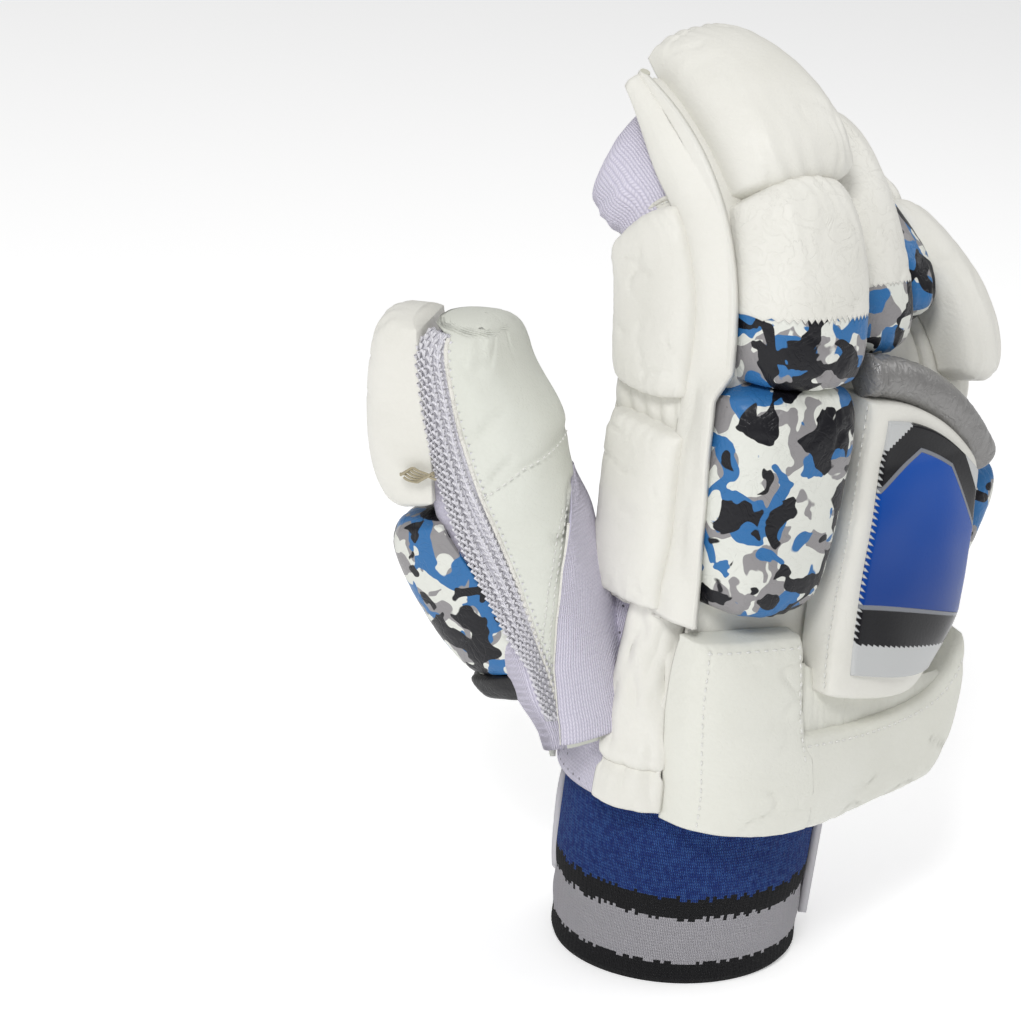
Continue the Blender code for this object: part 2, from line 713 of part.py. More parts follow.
def make_guard(materials, parts):
    left, middle, right = GUARD_X
    low, shelf, top = GUARD_Z
    block = GUARD_COLUMNS
    xs = [blend(left, middle, n / block) for n in range(block)]
    xs += [blend(middle, right, n / block) for n in range(block + 1)]
    zs = [low, shelf, blend(shelf, top, 0.5), top]

    def point(i, j, level):
        x, height = xs[i], zs[j]
        if i > block and j == 1:
            height += GUARD_RISE * ((i - block) / block) ** 2
            x += GUARD_SLANT * (i == len(xs) - 1)
        edge = i in (0, len(xs) - 1) or j in (0, 3) or (i >= block and j >= 1)
        lift = GUARD_THICK * (0.8 if edge else 1.1) * level
        return Vector((x, guard_y(x, height) - lift, height))

    pad("wrist_guard", (len(xs) - 1, 3), point, materials["white_leather"], parts,
        keep=lambda i, j: i < block or j < 1)

    def channel_point(i, j, level):
        x = blend(middle + 4.4, right - 14.0, i / 5.0)
        band_top = shelf + 2.2 + GUARD_RISE * max((x - middle) / (right - middle), 0.0) ** 2
        height = blend(band_top, PLATE_LOW - 0.8, j / 2.0)
        return Vector((x, guard_y(x, height) - CHANNEL_THICK * level, height))

    pad("guard_channel", (5, 2), channel_point, materials["white_leather"], parts, levels=0)


def centre_on_origin(parts, cutters):
    """Move every mesh and curve so that the bounding box stands centred on the Z axis."""
    graph = bpy.context.evaluated_depsgraph_get()
    corners = []
    for made in parts.objects:
        corners += [vertex.co.copy() for vertex in made.evaluated_get(graph).to_mesh().vertices]
    middle = [(min(c[axis] for c in corners) + max(c[axis] for c in corners)) / 2.0
              for axis in range(2)]
    shift = Matrix.Translation((-middle[0], -middle[1], 0.0))
    for made in [*parts.objects, *cutters.objects]:
        made.data.transform(shift)


def build():
    clear_scene()
    parts, cutters = make_collections()
    looks = dict(white_leather=WHITE_LEATHER, palm_leather=PALM_LEATHER, knit_pale=KNIT_PALE,
                 knit_blue=KNIT_BLUE, camo_blue=CAMO_BLUE, silver=SILVER,
                 badge_black=BADGE_BLACK, strap_grey=STRAP_GREY)
    materials = {name: make_material(name, look) for name, look in looks.items()}
    make_wrist_band(materials, parts)
    make_strap(materials, parts)
    make_hand(materials, parts, cutters)
    make_hand_back(materials, parts)
    make_palm(materials, parts, cutters)
    fingers = {name: Finger(size) for name, size in FINGERS.items()}
    for name, finger in fingers.items():
        make_finger(name, finger, materials, parts)
    for roll in ROLLS:
        camo = "base" in roll[0] or roll[1] == "ring"
        make_roll(roll, fingers[roll[1]], materials["camo_blue" if camo else "white_leather"], parts)
    make_outer_roll(materials, parts)
    make_side(fingers["index"], materials, parts)
    make_plate(materials, parts)
    make_guard(materials, parts)
    make_thumb(materials, parts, cutters)
    centre_on_origin(parts, cutters)


build()
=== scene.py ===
# %% [markdown]
# # A cricket batting glove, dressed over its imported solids
#
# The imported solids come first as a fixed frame. Every soft solid is then
# replaced by a finer piece: foam rolls under leather, knitted walls, sewn
# panels. The measures of the hand and of the fingers are repeated here in
# millimetres, because each new piece lies where its solid lies.

# %% The frame
import math

import bmesh
import bpy
from mathutils import Matrix, Vector, noise


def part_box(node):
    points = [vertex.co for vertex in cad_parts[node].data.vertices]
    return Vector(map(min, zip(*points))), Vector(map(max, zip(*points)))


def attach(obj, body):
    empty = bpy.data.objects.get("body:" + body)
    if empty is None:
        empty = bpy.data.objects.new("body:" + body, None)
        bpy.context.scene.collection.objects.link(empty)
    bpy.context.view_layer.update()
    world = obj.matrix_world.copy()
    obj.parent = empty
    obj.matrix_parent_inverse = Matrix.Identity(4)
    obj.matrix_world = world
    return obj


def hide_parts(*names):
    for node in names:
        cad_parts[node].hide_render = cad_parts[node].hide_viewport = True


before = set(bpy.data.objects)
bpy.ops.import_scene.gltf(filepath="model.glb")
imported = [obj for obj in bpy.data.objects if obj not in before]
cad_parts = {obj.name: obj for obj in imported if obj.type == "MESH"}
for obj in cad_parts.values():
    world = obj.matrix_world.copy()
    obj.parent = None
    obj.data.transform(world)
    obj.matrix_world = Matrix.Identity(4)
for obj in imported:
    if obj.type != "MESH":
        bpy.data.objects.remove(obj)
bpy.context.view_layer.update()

scene = bpy.context.scene
MM = 0.001
band_low, band_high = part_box("wrist_band")
middle_x = (band_low[0] + band_high[0]) / 2.0
middle_y = (band_low[1] + band_high[1]) / 2.0
print("the band's axis stands at", round(middle_x, 4), round(middle_y, 4))

# %% [markdown]
# ## The hand's own measures
#
# A glove is cut to a hand, so everything hangs on two things: oval sections
# up the hand, and a bent axis for each finger. They could be read back from
# the solids, but a formula can be asked for any point between, which a fine
# mesh needs. Lengths are millimetres from the centre of the band's rim.

# %% Sections of the band and the hand
GAP = 0.3
KNIT = 2.0
LEATHER = 2.2
OVER_KNIT = GAP + LEATHER    # outer face of the leather
KNUCKLE_Z = 178.0
KNUCKLE_SLOPE = 0.08
BAND_BOTTOM = (43.0, 37.5)
BAND_TOP = (45.0, 39.0)
BAND_HEIGHT = 70.0
BAND_WALL = 4.0
HAND = [
    # height, centre across and out, half sizes, squareness
    (62.0, 0.0, 0.0, 48.0, 42.0, 2.0),
    (76.0, 1.0, 0.8, 48.4, 41.4, 2.1),
    (98.0, 8.0, 4.0, 51.5, 37.0, 2.4),
    (122.0, 15.5, 4.5, 55.0, 32.5, 2.6),
    (150.0, 22.5, 4.0, 57.5, 27.5, 2.8),
    (178.0, 26.0, 3.0, 58.5, 22.0, 3.2),
    (215.0, 26.0, 3.0, 58.5, 22.0, 3.2),
]
BACK_PADDING = [(62.0, 2.6), (98.0, 6.0), (122.0, 7.0), (150.0, 7.5), (178.0, 8.0),
                (215.0, 8.0)]


def blend(low, high, share):
    return low + (high - low) * share


def shares(count):
    """Evenly spaced shares of a line, from 0 to 1."""
    return [number / count for number in range(count + 1)]


def to_share(value):
    """From a plan's place, -1 to 1, to a share."""
    return (value + 1.0) / 2.0


def clamped(value):
    return min(max(value, 0.0), 1.0)


def smooth_step(value):
    value = clamped(value)
    return value * value * (3.0 - 2.0 * value)


def fade(share, slope):
    """1 along most of a sheet, and falling to 0 at both of its edges."""
    return min(share * slope, (1.0 - share) * slope, 1.0)


def hump(value, centre, width):
    return math.exp(-((value - centre) / width) ** 2)


def ripple(x, y, z):
    """Smooth unevenness between about -1 and 1."""
    return noise.noise(Vector((x, y, z)))


def put(point):
    """From millimetres about the band's axis to metres in the frame."""
    return Vector((point[0] * MM + middle_x, point[1] * MM + middle_y, point[2] * MM))


def from_table(table, place):
    for low, high in zip(table, table[1:]):
        if place <= high[0]:
            return blend(low[1], high[1], max(place - low[0], 0.0) / (high[0] - low[0]))
    return table[-1][1]


def oval(angle, square):
    """0 is the little-finger side, 90 the back, 180 the thumb side and 270 the palm."""
    cosine = math.cos(math.radians(angle))
    sine = math.sin(math.radians(angle))
    return (math.copysign(abs(cosine) ** (2.0 / square), cosine),
            math.copysign(abs(sine) ** (2.0 / square), sine))


def band_point(height, angle, offset):
    share = height / BAND_HEIGHT
    half_x = blend(BAND_BOTTOM[0], BAND_TOP[0], share) + offset
    half_y = blend(BAND_BOTTOM[1], BAND_TOP[1], share) + offset
    turn = math.radians(angle)
    return Vector((half_x * math.cos(turn), -half_y * math.sin(turn), height))


def hand_row(height):
    for low, high in zip(HAND, HAND[1:]):
        if height <= high[0]:
            share = (height - low[0]) / (high[0] - low[0])
            return [blend(a, b, share) for a, b in zip(low[1:], high[1:])]
    return list(HAND[-1][1:])


def hand_point(height, angle, offset):
    centre_x, centre_y, half_x, half_y, square = hand_row(height)
    across, back = oval(angle, square)
    return Vector((centre_x + (half_x + offset) * across,
                   centre_y - (half_y + offset) * back, height))


def back_y(x, height):
    """Outside of the padding on the back: round at the wrist and a flat arch higher up."""
    centre_x, centre_y, half_x, half_y, square = hand_row(height)
    ratio = min(abs(x - centre_x) / half_x, 1.0)
    rounded = (1.0 - ratio ** square) ** (1.0 / square)
    arched = 1.0 - 0.28 * ratio ** 2.5
    flat = clamped((height - HAND[1][0]) / (HAND[3][0] - HAND[1][0]))
    share = blend(rounded, arched, flat)
    return centre_y - (half_y + from_table(BACK_PADDING, height)) * share


# %% Bent axes of the fingers and the thumb
FINGERS = {
    "index": dict(x=-15.5, y=3.5, lean=-0.02, turn=0.0, bend=4.0, curl=66.0, start=32.0, end=100.0,
                  length=104.0, width=(16.0, 14.0), depth=(19.5, 21.5), rise=0.16),
    "middle": dict(x=16.0, y=2.5, lean=-0.03, turn=0.0, bend=27.0, curl=56.0, start=34.0, end=100.0,
                   length=97.0, width=(14.5, 12.3), depth=(19.0, 16.0), rise=0.03),
    "ring": dict(x=44.5, y=3.0, lean=-0.04, turn=3.0, bend=49.0, curl=52.0, start=30.0, end=92.0,
                 length=90.0, width=(13.0, 11.0), depth=(18.5, 15.0), rise=-0.06),
    "little": dict(x=70.3, y=4.5, lean=-0.05, turn=6.0, bend=51.0, curl=42.0, start=24.0, end=82.0,
                   length=80.0, width=(11.8, 9.6), depth=(17.0, 13.5), rise=-0.14),
}
THUMB = dict(x=-47.0, y=18.0, z=84.0, facing=212.0, lean=0.10, bend=-20.0, curl=18.0, start=60.0,
             end=130.0, length=130.0, width=(20.0, 19.0), depth=(22.0, 20.0), rise=0.0)
TIP_ROUND = 12.0
LINER = 9.0
FINGER_SQUARE = 2.7
THUMB_SQUARE = 2.4


class Finger:
    """A bent axis with its own directions: along it, across it and out of its back."""

    def __init__(self, size):
        self.size = size
        facing = math.radians(size["facing"] if "facing" in size else size["turn"])
        self.back = Vector((math.sin(facing), -math.cos(facing), 0.0))
        self.across = Vector((math.cos(facing), math.sin(facing), 0.0))
        self.base = Vector((size["x"], size["y"], size.get("z", KNUCKLE_Z)))
        self.known = {}

    def bend_at(self, along):
        size = self.size
        near = size["bend"] * (1.0 if "z" in size else smooth_step(along / 24.0))
        far = size["curl"] * smooth_step((along - size["start"]) / (size["end"] - size["start"]))
        return math.radians(near + far)

    def heading(self, along):
        bend = self.bend_at(along)
        return Vector((0.0, 0.0, math.cos(bend))) - self.back * math.sin(bend)

    def frame(self, along):
        along = round(along, 3)
        if along not in self.known:
            centre = self.base.copy()
            if along <= 0.0:
                centre += along * (self.heading(0.0) - KNUCKLE_SLOPE * self.back)
            else:
                steps = max(2, int(along / 3.0))
                for number in range(steps):
                    centre += self.heading((number + 0.5) * along / steps) * (along / steps)
                centre += self.across * (self.size["lean"] * along)
            bend = self.bend_at(along)
            out = self.back * math.cos(bend) + Vector((0.0, 0.0, math.sin(bend)))
            self.known[along] = (centre, out)
        return self.known[along]

    def at(self, along, across, out):
        centre, back = self.frame(along)
        return centre + self.across * across + back * out

    def half_sizes(self, along):
        share = clamped(along / self.size["length"])
        return blend(*self.size["width"], share), blend(*self.size["depth"], share)

    def closing(self, along):
        """Share of the full section: 1, and falling to 0 over the round tip."""
        over = max(along - (self.size["length"] - TIP_ROUND), 0.0) / TIP_ROUND
        return math.sqrt(max(1.0 - min(over, 1.0) ** 2, 0.0))

    def ring(self, along, angle, offset, square):
        half_across, half_out = self.half_sizes(along)
        close = self.closing(along)
        across, back = oval(angle, square)
        return self.at(along, (half_across + offset) * across * close,
                       (half_out + offset) * back * close)

    def back_height(self, along, across):
        return self.half_sizes(along)[1] + LINER + self.size["rise"] * across


fingers = {name: Finger(size) for name, size in FINGERS.items()}
thumb = Finger(THUMB)
print(len(fingers), "fingers and a thumb; the index tip lies at",
      [round(value, 1) for value in fingers["index"].at(104.0, 0.0, 0.0)])

# %% [markdown]
# ## Camera, floor and light
#
# The photograph looks down a little on the glove from its back and thumb
# side, with a slight roll. The camera's place is given from the band's axis.
# Broad soft lights stand in for a white studio, with one lower fill so that
# the white leather keeps its shape.

# %% Camera
CAMERA_FROM_AXIS = (-0.7262, -0.7262, 0.523)
CAMERA_TURN = math.radians(-45.0 + 3.8818)
CAMERA_DOWN = math.radians(20.409)
CAMERA_ROLL = math.radians(6.5)
CAMERA_LENS = 120.4

looking = Vector((-math.sin(CAMERA_TURN) * math.cos(CAMERA_DOWN),
                  math.cos(CAMERA_TURN) * math.cos(CAMERA_DOWN), -math.sin(CAMERA_DOWN)))
level = Vector((math.cos(CAMERA_TURN), math.sin(CAMERA_TURN), 0.0))
upward = level.cross(looking)
right = level * math.cos(CAMERA_ROLL) + upward * math.sin(CAMERA_ROLL)
up = upward * math.cos(CAMERA_ROLL) - level * math.sin(CAMERA_ROLL)
camera = bpy.data.objects.new("camera", bpy.data.cameras.new("camera"))
camera.data.lens = CAMERA_LENS
camera.matrix_world = Matrix.Translation(
    Vector(CAMERA_FROM_AXIS) + Vector((middle_x, middle_y, 0.0))) @ Matrix(
    (right, up, -looking)).transposed().to_4x4()
scene.collection.objects.link(camera)
scene.camera = camera

# %% Floor, world and lights
WHITE_LIGHT = (1.0, 1.0, 1.0, 1.0)
FLOOR_SIZE = 3.0
FLOOR_COLOUR = (0.95, 0.95, 0.95, 1.0)


def set_values(node, values):
    """Sets a node's unlinked inputs by name."""
    for name, value in values.items():
        node.inputs[name].default_value = value


def add_object(name, data):
    made = bpy.data.objects.new(name, data)
    scene.collection.objects.link(made)
    return made


def plain_object(shape, name):
    """An object from a finished bmesh."""
    mesh = bpy.data.meshes.new(name)
    shape.to_mesh(mesh)
    shape.free()
    return add_object(name, mesh)


floor_shape = bmesh.new()
bmesh.ops.create_grid(floor_shape, x_segments=1, y_segments=1, size=FLOOR_SIZE)
floor = plain_object(floor_shape, "floor")
floor_paint = bpy.data.materials.new("floor")
floor_paint.use_nodes = True
set_values(floor_paint.node_tree.nodes["Principled BSDF"],
           {"Base Color": FLOOR_COLOUR, "Roughness": 0.9, "Emission Color": WHITE_LIGHT,
            "Emission Strength": 0.33})
floor.data.materials.append(floor_paint)

world = bpy.data.worlds.new("studio")
world.use_nodes = True
set_values(world.node_tree.nodes["Background"], {"Color": WHITE_LIGHT, "Strength": 0.38})
scene.world = world
scene.view_settings.view_transform = "Standard"

LIGHTS_AIM = Vector((0.0, 0.0, 0.14))
LIGHTS = [
    # name, place, size, power
    ("key", (-0.95, -0.65, 1.25), 0.4, 11.0),
    ("fill", (-1.4, 0.2, 0.6), 0.9, 2.0),
    ("rim", (1.0, -0.3, 1.0), 0.7, 3.5),
    ("top", (0.0, 0.3, 1.5), 0.9, 3.5),
]
for name, place, size, power in LIGHTS:
    lamp = bpy.data.lights.new(name, "AREA")
    lamp.size = size
    lamp.energy = power
    light = add_object(name, lamp)
    light.location = place
    light.rotation_euler = (LIGHTS_AIM - Vector(place)).to_track_quat("-Z", "Y").to_euler()
print(len(LIGHTS), "lights")

# %% [markdown]
# ## Shader effects shared by the finishes
#
# Leather, knit and print are each a node group, made once and used with its
# own values in every material that needs it. Flat colours alone would read as
# plastic. The groups read Object coordinates, or the Place map that each
# sewn piece carries in millimetres, so a pattern stays where it is sewn.

# %% A short way to wire nodes
def in_use(sockets):
    """The sockets that a node shows with its present settings."""
    return [socket for socket in sockets if socket.enabled]


class Wires:
    """Adds nodes to a tree and joins them; plain numbers go straight into a socket."""

    def __init__(self, tree):
        self.tree = tree

    def feed(self, socket, value):
        if isinstance(value, bpy.types.NodeSocket):
            self.tree.links.new(value, socket)
        elif value is not None:
            socket.default_value = value

    def add(self, kind, inputs=None, **settings):
        node = self.tree.nodes.new(kind)
        for name, value in settings.items():
            setattr(node, name, value)
        for name, value in (inputs or {}).items():
            self.feed(node.inputs[name], value)
        return node

    def math(self, operation, first, second=None):
        node = self.add("ShaderNodeMath", operation=operation)
        self.feed(node.inputs[0], first)
        self.feed(node.inputs[1], second)
        return node.outputs[0]

    def times(self, first, second):
        return self.math("MULTIPLY", first, second)

    def plus(self, first, second):
        return self.math("ADD", first, second)

    def minus(self, first, second):
        return self.math("SUBTRACT", first, second)

    def over(self, first, second):
        return self.math("DIVIDE", first, second)

    def ramp(self, value, low, high, to_low=0.0, to_high=1.0):
        node = self.add("ShaderNodeMapRange", {"Value": value, "From Min": low, "From Max": high,
                                               "To Min": to_low, "To Max": to_high})
        return node.outputs["Result"]

    def mix(self, share, first, second):
        node = self.add("ShaderNodeMix", data_type="RGBA")
        for socket, value in zip(in_use(node.inputs), (share, first, second)):
            self.feed(socket, value)
        return in_use(node.outputs)[0]

    def noise(self, where, scale, detail=2.0, roughness=0.5, distortion=0.0):
        return self.add("ShaderNodeTexNoise",
                        {"Vector": where, "Scale": scale, "Detail": detail,
                         "Roughness": roughness, "Distortion": distortion}).outputs["Fac"]


def new_group(name, inputs, outputs):
    """A shader group with named float or colour sockets; returns its wires and its two ends."""
    group = bpy.data.node_groups.new(name, "ShaderNodeTree")
    for label, value in inputs.items():
        kind = "NodeSocketColor" if isinstance(value, tuple) else "NodeSocketFloat"
        socket = group.interface.new_socket(name=label, in_out="INPUT", socket_type=kind)
        socket.default_value = value
    for label in outputs:
        kind = "NodeSocketColor" if label == "Color" else "NodeSocketFloat"
        group.interface.new_socket(name=label, in_out="OUTPUT", socket_type=kind)
    wires = Wires(group)
    start = group.nodes.new("NodeGroupInput")
    end = group.nodes.new("NodeGroupOutput")
    return wires, start.outputs, end.inputs


def object_place(wires):
    return wires.add("ShaderNodeTexCoord").outputs["Object"]


def sewn_place(wires):
    """The Place map's two directions in millimetres."""
    place = wires.add("ShaderNodeUVMap", uv_map="Place").outputs["UV"]
    parts = wires.add("ShaderNodeSeparateXYZ", {0: place})
    return parts.outputs["X"], parts.outputs["Y"]


# %% Leather grain
wires, given, result = new_group("leather grain", {"Grain": 900.0, "Wrinkle": 0.5},
                                 ("Height", "Tone"))
where = object_place(wires)
cells = wires.add("ShaderNodeTexVoronoi", {"Vector": where, "Scale": given["Grain"]},
                  feature="SMOOTH_F1").outputs["Distance"]
fine = wires.noise(where, 2600.0, 2.0)
folds = wires.add("ShaderNodeTexNoise", {"Vector": where, "Scale": 130.0, "Detail": 3.0,
                                         "Distortion": 1.4}).outputs["Fac"]
creases = wires.math("ABSOLUTE", wires.minus(folds, 0.5))
creases = wires.ramp(creases, 0.0, 0.05, 1.0, 0.0)
creases = wires.times(creases, given["Wrinkle"])
pebbles = wires.times(cells, -0.55)
height = wires.plus(pebbles, wires.times(fine, 0.25))
wires.feed(result["Height"], wires.minus(height, wires.times(creases, 0.5)))
clouds = wires.noise(where, 22.0, 3.0, 0.55)
tone = wires.ramp(clouds, 0.3, 0.7, -1.0, 1.0)
# The tone is the leather's own cloudy unevenness, and the creases darken it with painted shade.
wires.feed(result["Tone"], wires.minus(tone, wires.times(creases, 0.6)))

# %% Knitted loops
wires, given, result = new_group("knit loops", {"Column": 1.4, "Row": 1.2}, ("Height", "Shade"))
across, along = sewn_place(wires)
column = wires.over(across, given["Column"])
share = wires.math("FRACT", column)
side = wires.math("ABSOLUTE", wires.minus(wires.times(share, 2.0), 1.0))
row = wires.plus(wires.over(along, given["Row"]), wires.times(side, 0.6))
leg = wires.math("SINE", wires.times(side, math.pi))
turn = wires.math("SINE", wires.times(wires.math("FRACT", row), math.pi))
loop = wires.times(leg, wires.plus(0.35, wires.times(turn, 0.65)))
wires.feed(result["Height"], loop)
fuzz = wires.noise(object_place(wires), 1400.0, 3.0)
wires.feed(result["Shade"], wires.times(wires.plus(loop, 0.25), wires.plus(fuzz, 0.5)))

# %% Mesh holes, in slanted rows on the pale knit
wires, given, result = new_group("mesh holes", {"Spacing": 4.2, "Size": 0.42}, ("Mask",))
across, along = sewn_place(wires)
row = wires.over(along, given["Spacing"])
step = wires.math("FLOOR", row)
slid = wires.plus(wires.over(across, given["Spacing"]), wires.times(step, 0.37))
from_x = wires.times(wires.minus(wires.math("FRACT", slid), 0.5), given["Spacing"])
from_y = wires.times(wires.minus(wires.math("FRACT", row), 0.5), given["Spacing"])
distance = wires.math("SQRT", wires.plus(wires.times(from_x, from_x),
                                         wires.times(from_y, from_y)))
hole = wires.math("LESS_THAN", distance, given["Size"])
patches = wires.ramp(wires.noise(object_place(wires), 26.0, 1.0), 0.46, 0.5)
wires.feed(result["Mask"], wires.times(hole, patches))

# %% Camouflage print, in this glove's own layout
CAMO_LAYERS = [
    # place of the pattern, scale, threshold, colour
    ((7.3, 2.1, 5.9), 92.0, 0.515, (0.27, 0.26, 0.265, 1)),
    ((1.7, 8.4, 3.3), 84.0, 0.515, (0.030, 0.15, 0.37, 1)),
    ((4.6, 5.2, 9.1), 96.0, 0.545, (0.006, 0.006, 0.009, 1)),
]
wires, given, result = new_group("camouflage", {"Ground": (0.70, 0.71, 0.66, 1.0)},
                                 ("Color", "Paint"))
where = object_place(wires)
colour = given["Ground"]
paint = None
for offset, scale, threshold, layer in CAMO_LAYERS:
    moved = wires.add("ShaderNodeVectorMath", {0: where, 1: offset}, operation="ADD").outputs[0]
    blot = wires.noise(moved, scale, 1.6, 0.5, 0.5)
    mask = wires.ramp(blot, threshold - 0.004, threshold + 0.004)
    colour = wires.mix(mask, colour, layer)
    paint = mask if paint is None else wires.math("MAXIMUM", paint, mask)
wires.feed(result["Color"], colour)
wires.feed(result["Paint"], paint)

# %% A zigzag edge where one leather is sewn over another
wires, given, result = new_group("pinked edge", {"Place": 0.0, "Tooth": 0.9, "Depth": 0.8},
                                 ("Mask", "Line"))
across, along = sewn_place(wires)
tooth = wires.math("PINGPONG", across, given["Tooth"])
edge = wires.plus(given["Place"], wires.times(wires.over(tooth, given["Tooth"]), given["Depth"]))
past = wires.minus(edge, along)
wires.feed(result["Mask"], wires.ramp(past, -0.12, 0.12))
wires.feed(result["Line"], wires.ramp(wires.math("ABSOLUTE", past), 0.0, 0.55, 1.0, 0.0))
print("shader groups:", [group.name for group in bpy.data.node_groups])

# %% [markdown]
# ## Finishes
#
# Each finish is one material: the shader stands in it, and the groups give
# it grain, loops or print. Bump heights are a fraction of a millimetre, as
# on the real surfaces, so that close views still look like cloth or leather.

# %% Material maker
LEATHER_GLOSS = 0.3    # the specular level of leather, yarn and panel


def new_material(name, roughness, metallic=0.0, sheen=0.0, coat=0.0):
    """A material with its shader set; returns the material, its wires and the shader."""
    material = bpy.data.materials.new(name)
    material.use_nodes = True
    shader = material.node_tree.nodes["Principled BSDF"]
    set_values(shader, {"Roughness": roughness, "Metallic": metallic, "Sheen Weight": sheen,
                        "Coat Weight": coat, "Specular IOR Level": LEATHER_GLOSS})
    return material, Wires(material.node_tree), shader


def use_group(wires, name, values=None):
    node = wires.add("ShaderNodeGroup", node_tree=bpy.data.node_groups[name])
    for label, value in (values or {}).items():
        wires.feed(node.inputs[label], value)
    return node.outputs


def bump(wires, shader, height, distance):
    """Small relief; the distance is in millimetres."""
    node = wires.add("ShaderNodeBump", {"Height": height, "Distance": distance * MM,
                                        "Strength": 1.0})
    wires.feed(shader.inputs["Normal"], node.outputs["Normal"])


def tinted(wires, colour, tone, darker):
    """The colour, moved towards a darker one where the tone is low; from the leather grain, a low
    tone is partly painted shade in the creases.
    """
    share = wires.ramp(tone, -1.0, 1.0, 0.55, 0.0)
    return wires.mix(share, (*colour, 1.0), (*darker, 1.0))


# %% Leathers
def leather(name, colour, darker, roughness, grain, wrinkle, depth):
    material, wires, shader = new_material(name, roughness)
    skin = use_group(wires, "leather grain", {"Grain": grain, "Wrinkle": wrinkle})
    wires.feed(shader.inputs["Base Color"], tinted(wires, colour, skin["Tone"], darker))
    wires.feed(shader.inputs["Roughness"],
               wires.ramp(skin["Tone"], -1.0, 1.0, roughness + 0.08, roughness - 0.05))
    bump(wires, shader, skin["Height"], depth)
    return material


WHITE = (0.775, 0.765, 0.715)
WHITE_SHADE = (0.66, 0.65, 0.59)
white_leather = leather("white_leather", WHITE, WHITE_SHADE, 0.43, 900.0, 0.25, 0.16)
guard_leather = leather("guard_leather", (0.735, 0.735, 0.675), (0.65, 0.65, 0.58), 0.46,
                        1100.0, 0.3, 0.16)
palm_leather = leather("palm_leather", (0.64, 0.655, 0.60), (0.56, 0.57, 0.51), 0.55,
                       1300.0, 0.5, 0.18)
thumb_leather = leather("thumb_leather", (0.70, 0.715, 0.655), (0.61, 0.62, 0.555), 0.5,
                        1300.0, 0.4, 0.16)
raw_edge = leather("raw_edge", (0.80, 0.79, 0.74), (0.64, 0.62, 0.56), 0.8, 1900.0, 1.0, 0.4)


def printed_leather(name, white_above=None):
    """Leather with the camouflage print, or white above a pinked seam at a Place height."""
    material, wires, shader = new_material(name, 0.4)
    skin = use_group(wires, "leather grain", {"Grain": 700.0, "Wrinkle": 0.8})
    camo = use_group(wires, "camouflage")
    colour, height, gloss = camo["Color"], skin["Height"], camo["Paint"]
    if white_above is not None:
        seam = use_group(wires, "pinked edge", {"Place": white_above})
        white = tinted(wires, WHITE, skin["Tone"], WHITE_SHADE)
        colour = wires.mix(seam["Mask"], white, colour)
        height = wires.plus(height, wires.times(seam["Mask"], 1.6))
        height = wires.minus(height, wires.times(seam["Line"], 1.2))
        gloss = wires.times(gloss, seam["Mask"])
    wires.feed(shader.inputs["Base Color"], colour)
    wires.feed(shader.inputs["Roughness"], wires.ramp(gloss, 0.0, 1.0, 0.46, 0.34))
    bump(wires, shader, height, 0.2)
    return material


camo_leather = printed_leather("camo_leather")
silver_material, wires, shader = new_material("silver_leather", 0.36, metallic=0.35)
skin = use_group(wires, "leather grain", {"Grain": 1000.0, "Wrinkle": 1.0})
wires.feed(shader.inputs["Base Color"], tinted(wires, (0.27, 0.265, 0.26), skin["Tone"],
                                               (0.19, 0.186, 0.184)))
bump(wires, shader, skin["Height"], 0.22)
loose_thread = leather("loose_thread", (0.42, 0.37, 0.26), (0.32, 0.28, 0.19), 0.6,
                       900.0, 0.3, 0.1)
black_edge = leather("black_edge", (0.012, 0.012, 0.014), (0.03, 0.03, 0.03), 0.4,
                     900.0, 0.6, 0.2)


# %% Knits
def knit(name, light, dark, column, row, depth, holes=False):
    material, wires, shader = new_material(name, 0.85, sheen=0.1)
    loops = use_group(wires, "knit loops", {"Column": column, "Row": row})
    colour = wires.mix(loops["Shade"], (*dark, 1.0), (*light, 1.0))
    height = loops["Height"]
    if holes:
        hole = use_group(wires, "mesh holes")["Mask"]
        # The knit is not cut at the holes: each is painted near black, as painted shade for the
        # dark inside seen through it.
        colour = wires.mix(wires.times(hole, 0.85), colour, (0.03, 0.028, 0.04, 1.0))
        height = wires.minus(height, wires.times(hole, 3.0))
    wires.feed(shader.inputs["Base Color"], colour)
    bump(wires, shader, height, depth)
    return material


pale_knit = knit("pale_knit", (0.72, 0.69, 0.80), (0.47, 0.45, 0.57), 1.5, 1.3, 0.35)
mesh_knit = knit("mesh_knit", (0.74, 0.71, 0.82), (0.48, 0.46, 0.58), 1.5, 1.3, 0.35,
                 holes=True)
strip_knit = knit("strip_knit", (0.80, 0.79, 0.84), (0.58, 0.57, 0.64), 1.5, 1.3, 0.35)

# %% The wrist band's stripes
# The bands are counted in knitted rows, and one row more or less per column
# makes the stepped border that such a change of yarn leaves.
BAND_COLUMN = 1.15
BAND_ROW = 1.05
BLACK_YARN = (0.006, 0.006, 0.008, 1.0)
BLUE_YARN = (0.004, 0.030, 0.215, 1.0)
BLUE_LIGHT = (0.045, 0.14, 0.45, 1.0)
PALE_YARN = (0.60, 0.585, 0.62, 1.0)
STRIPES = [(7.5, PALE_YARN), (23.5, BLACK_YARN), (31.0, BLUE_YARN), (66.5, BLACK_YARN)]
band_knit, wires, shader = new_material("band_knit", 0.9, sheen=0.02)
across, along = sewn_place(wires)
loops = use_group(wires, "knit loops", {"Column": BAND_COLUMN, "Row": BAND_ROW})
column = wires.math("FLOOR", wires.over(across, BAND_COLUMN))
wobble = wires.add("ShaderNodeTexWhiteNoise", {"W": column},
                   noise_dimensions="1D").outputs["Value"]
row = wires.math("FLOOR", wires.over(along, BAND_ROW))
row = wires.plus(row, wires.times(wires.minus(wobble, 0.5), 1.8))
colour = BLACK_YARN
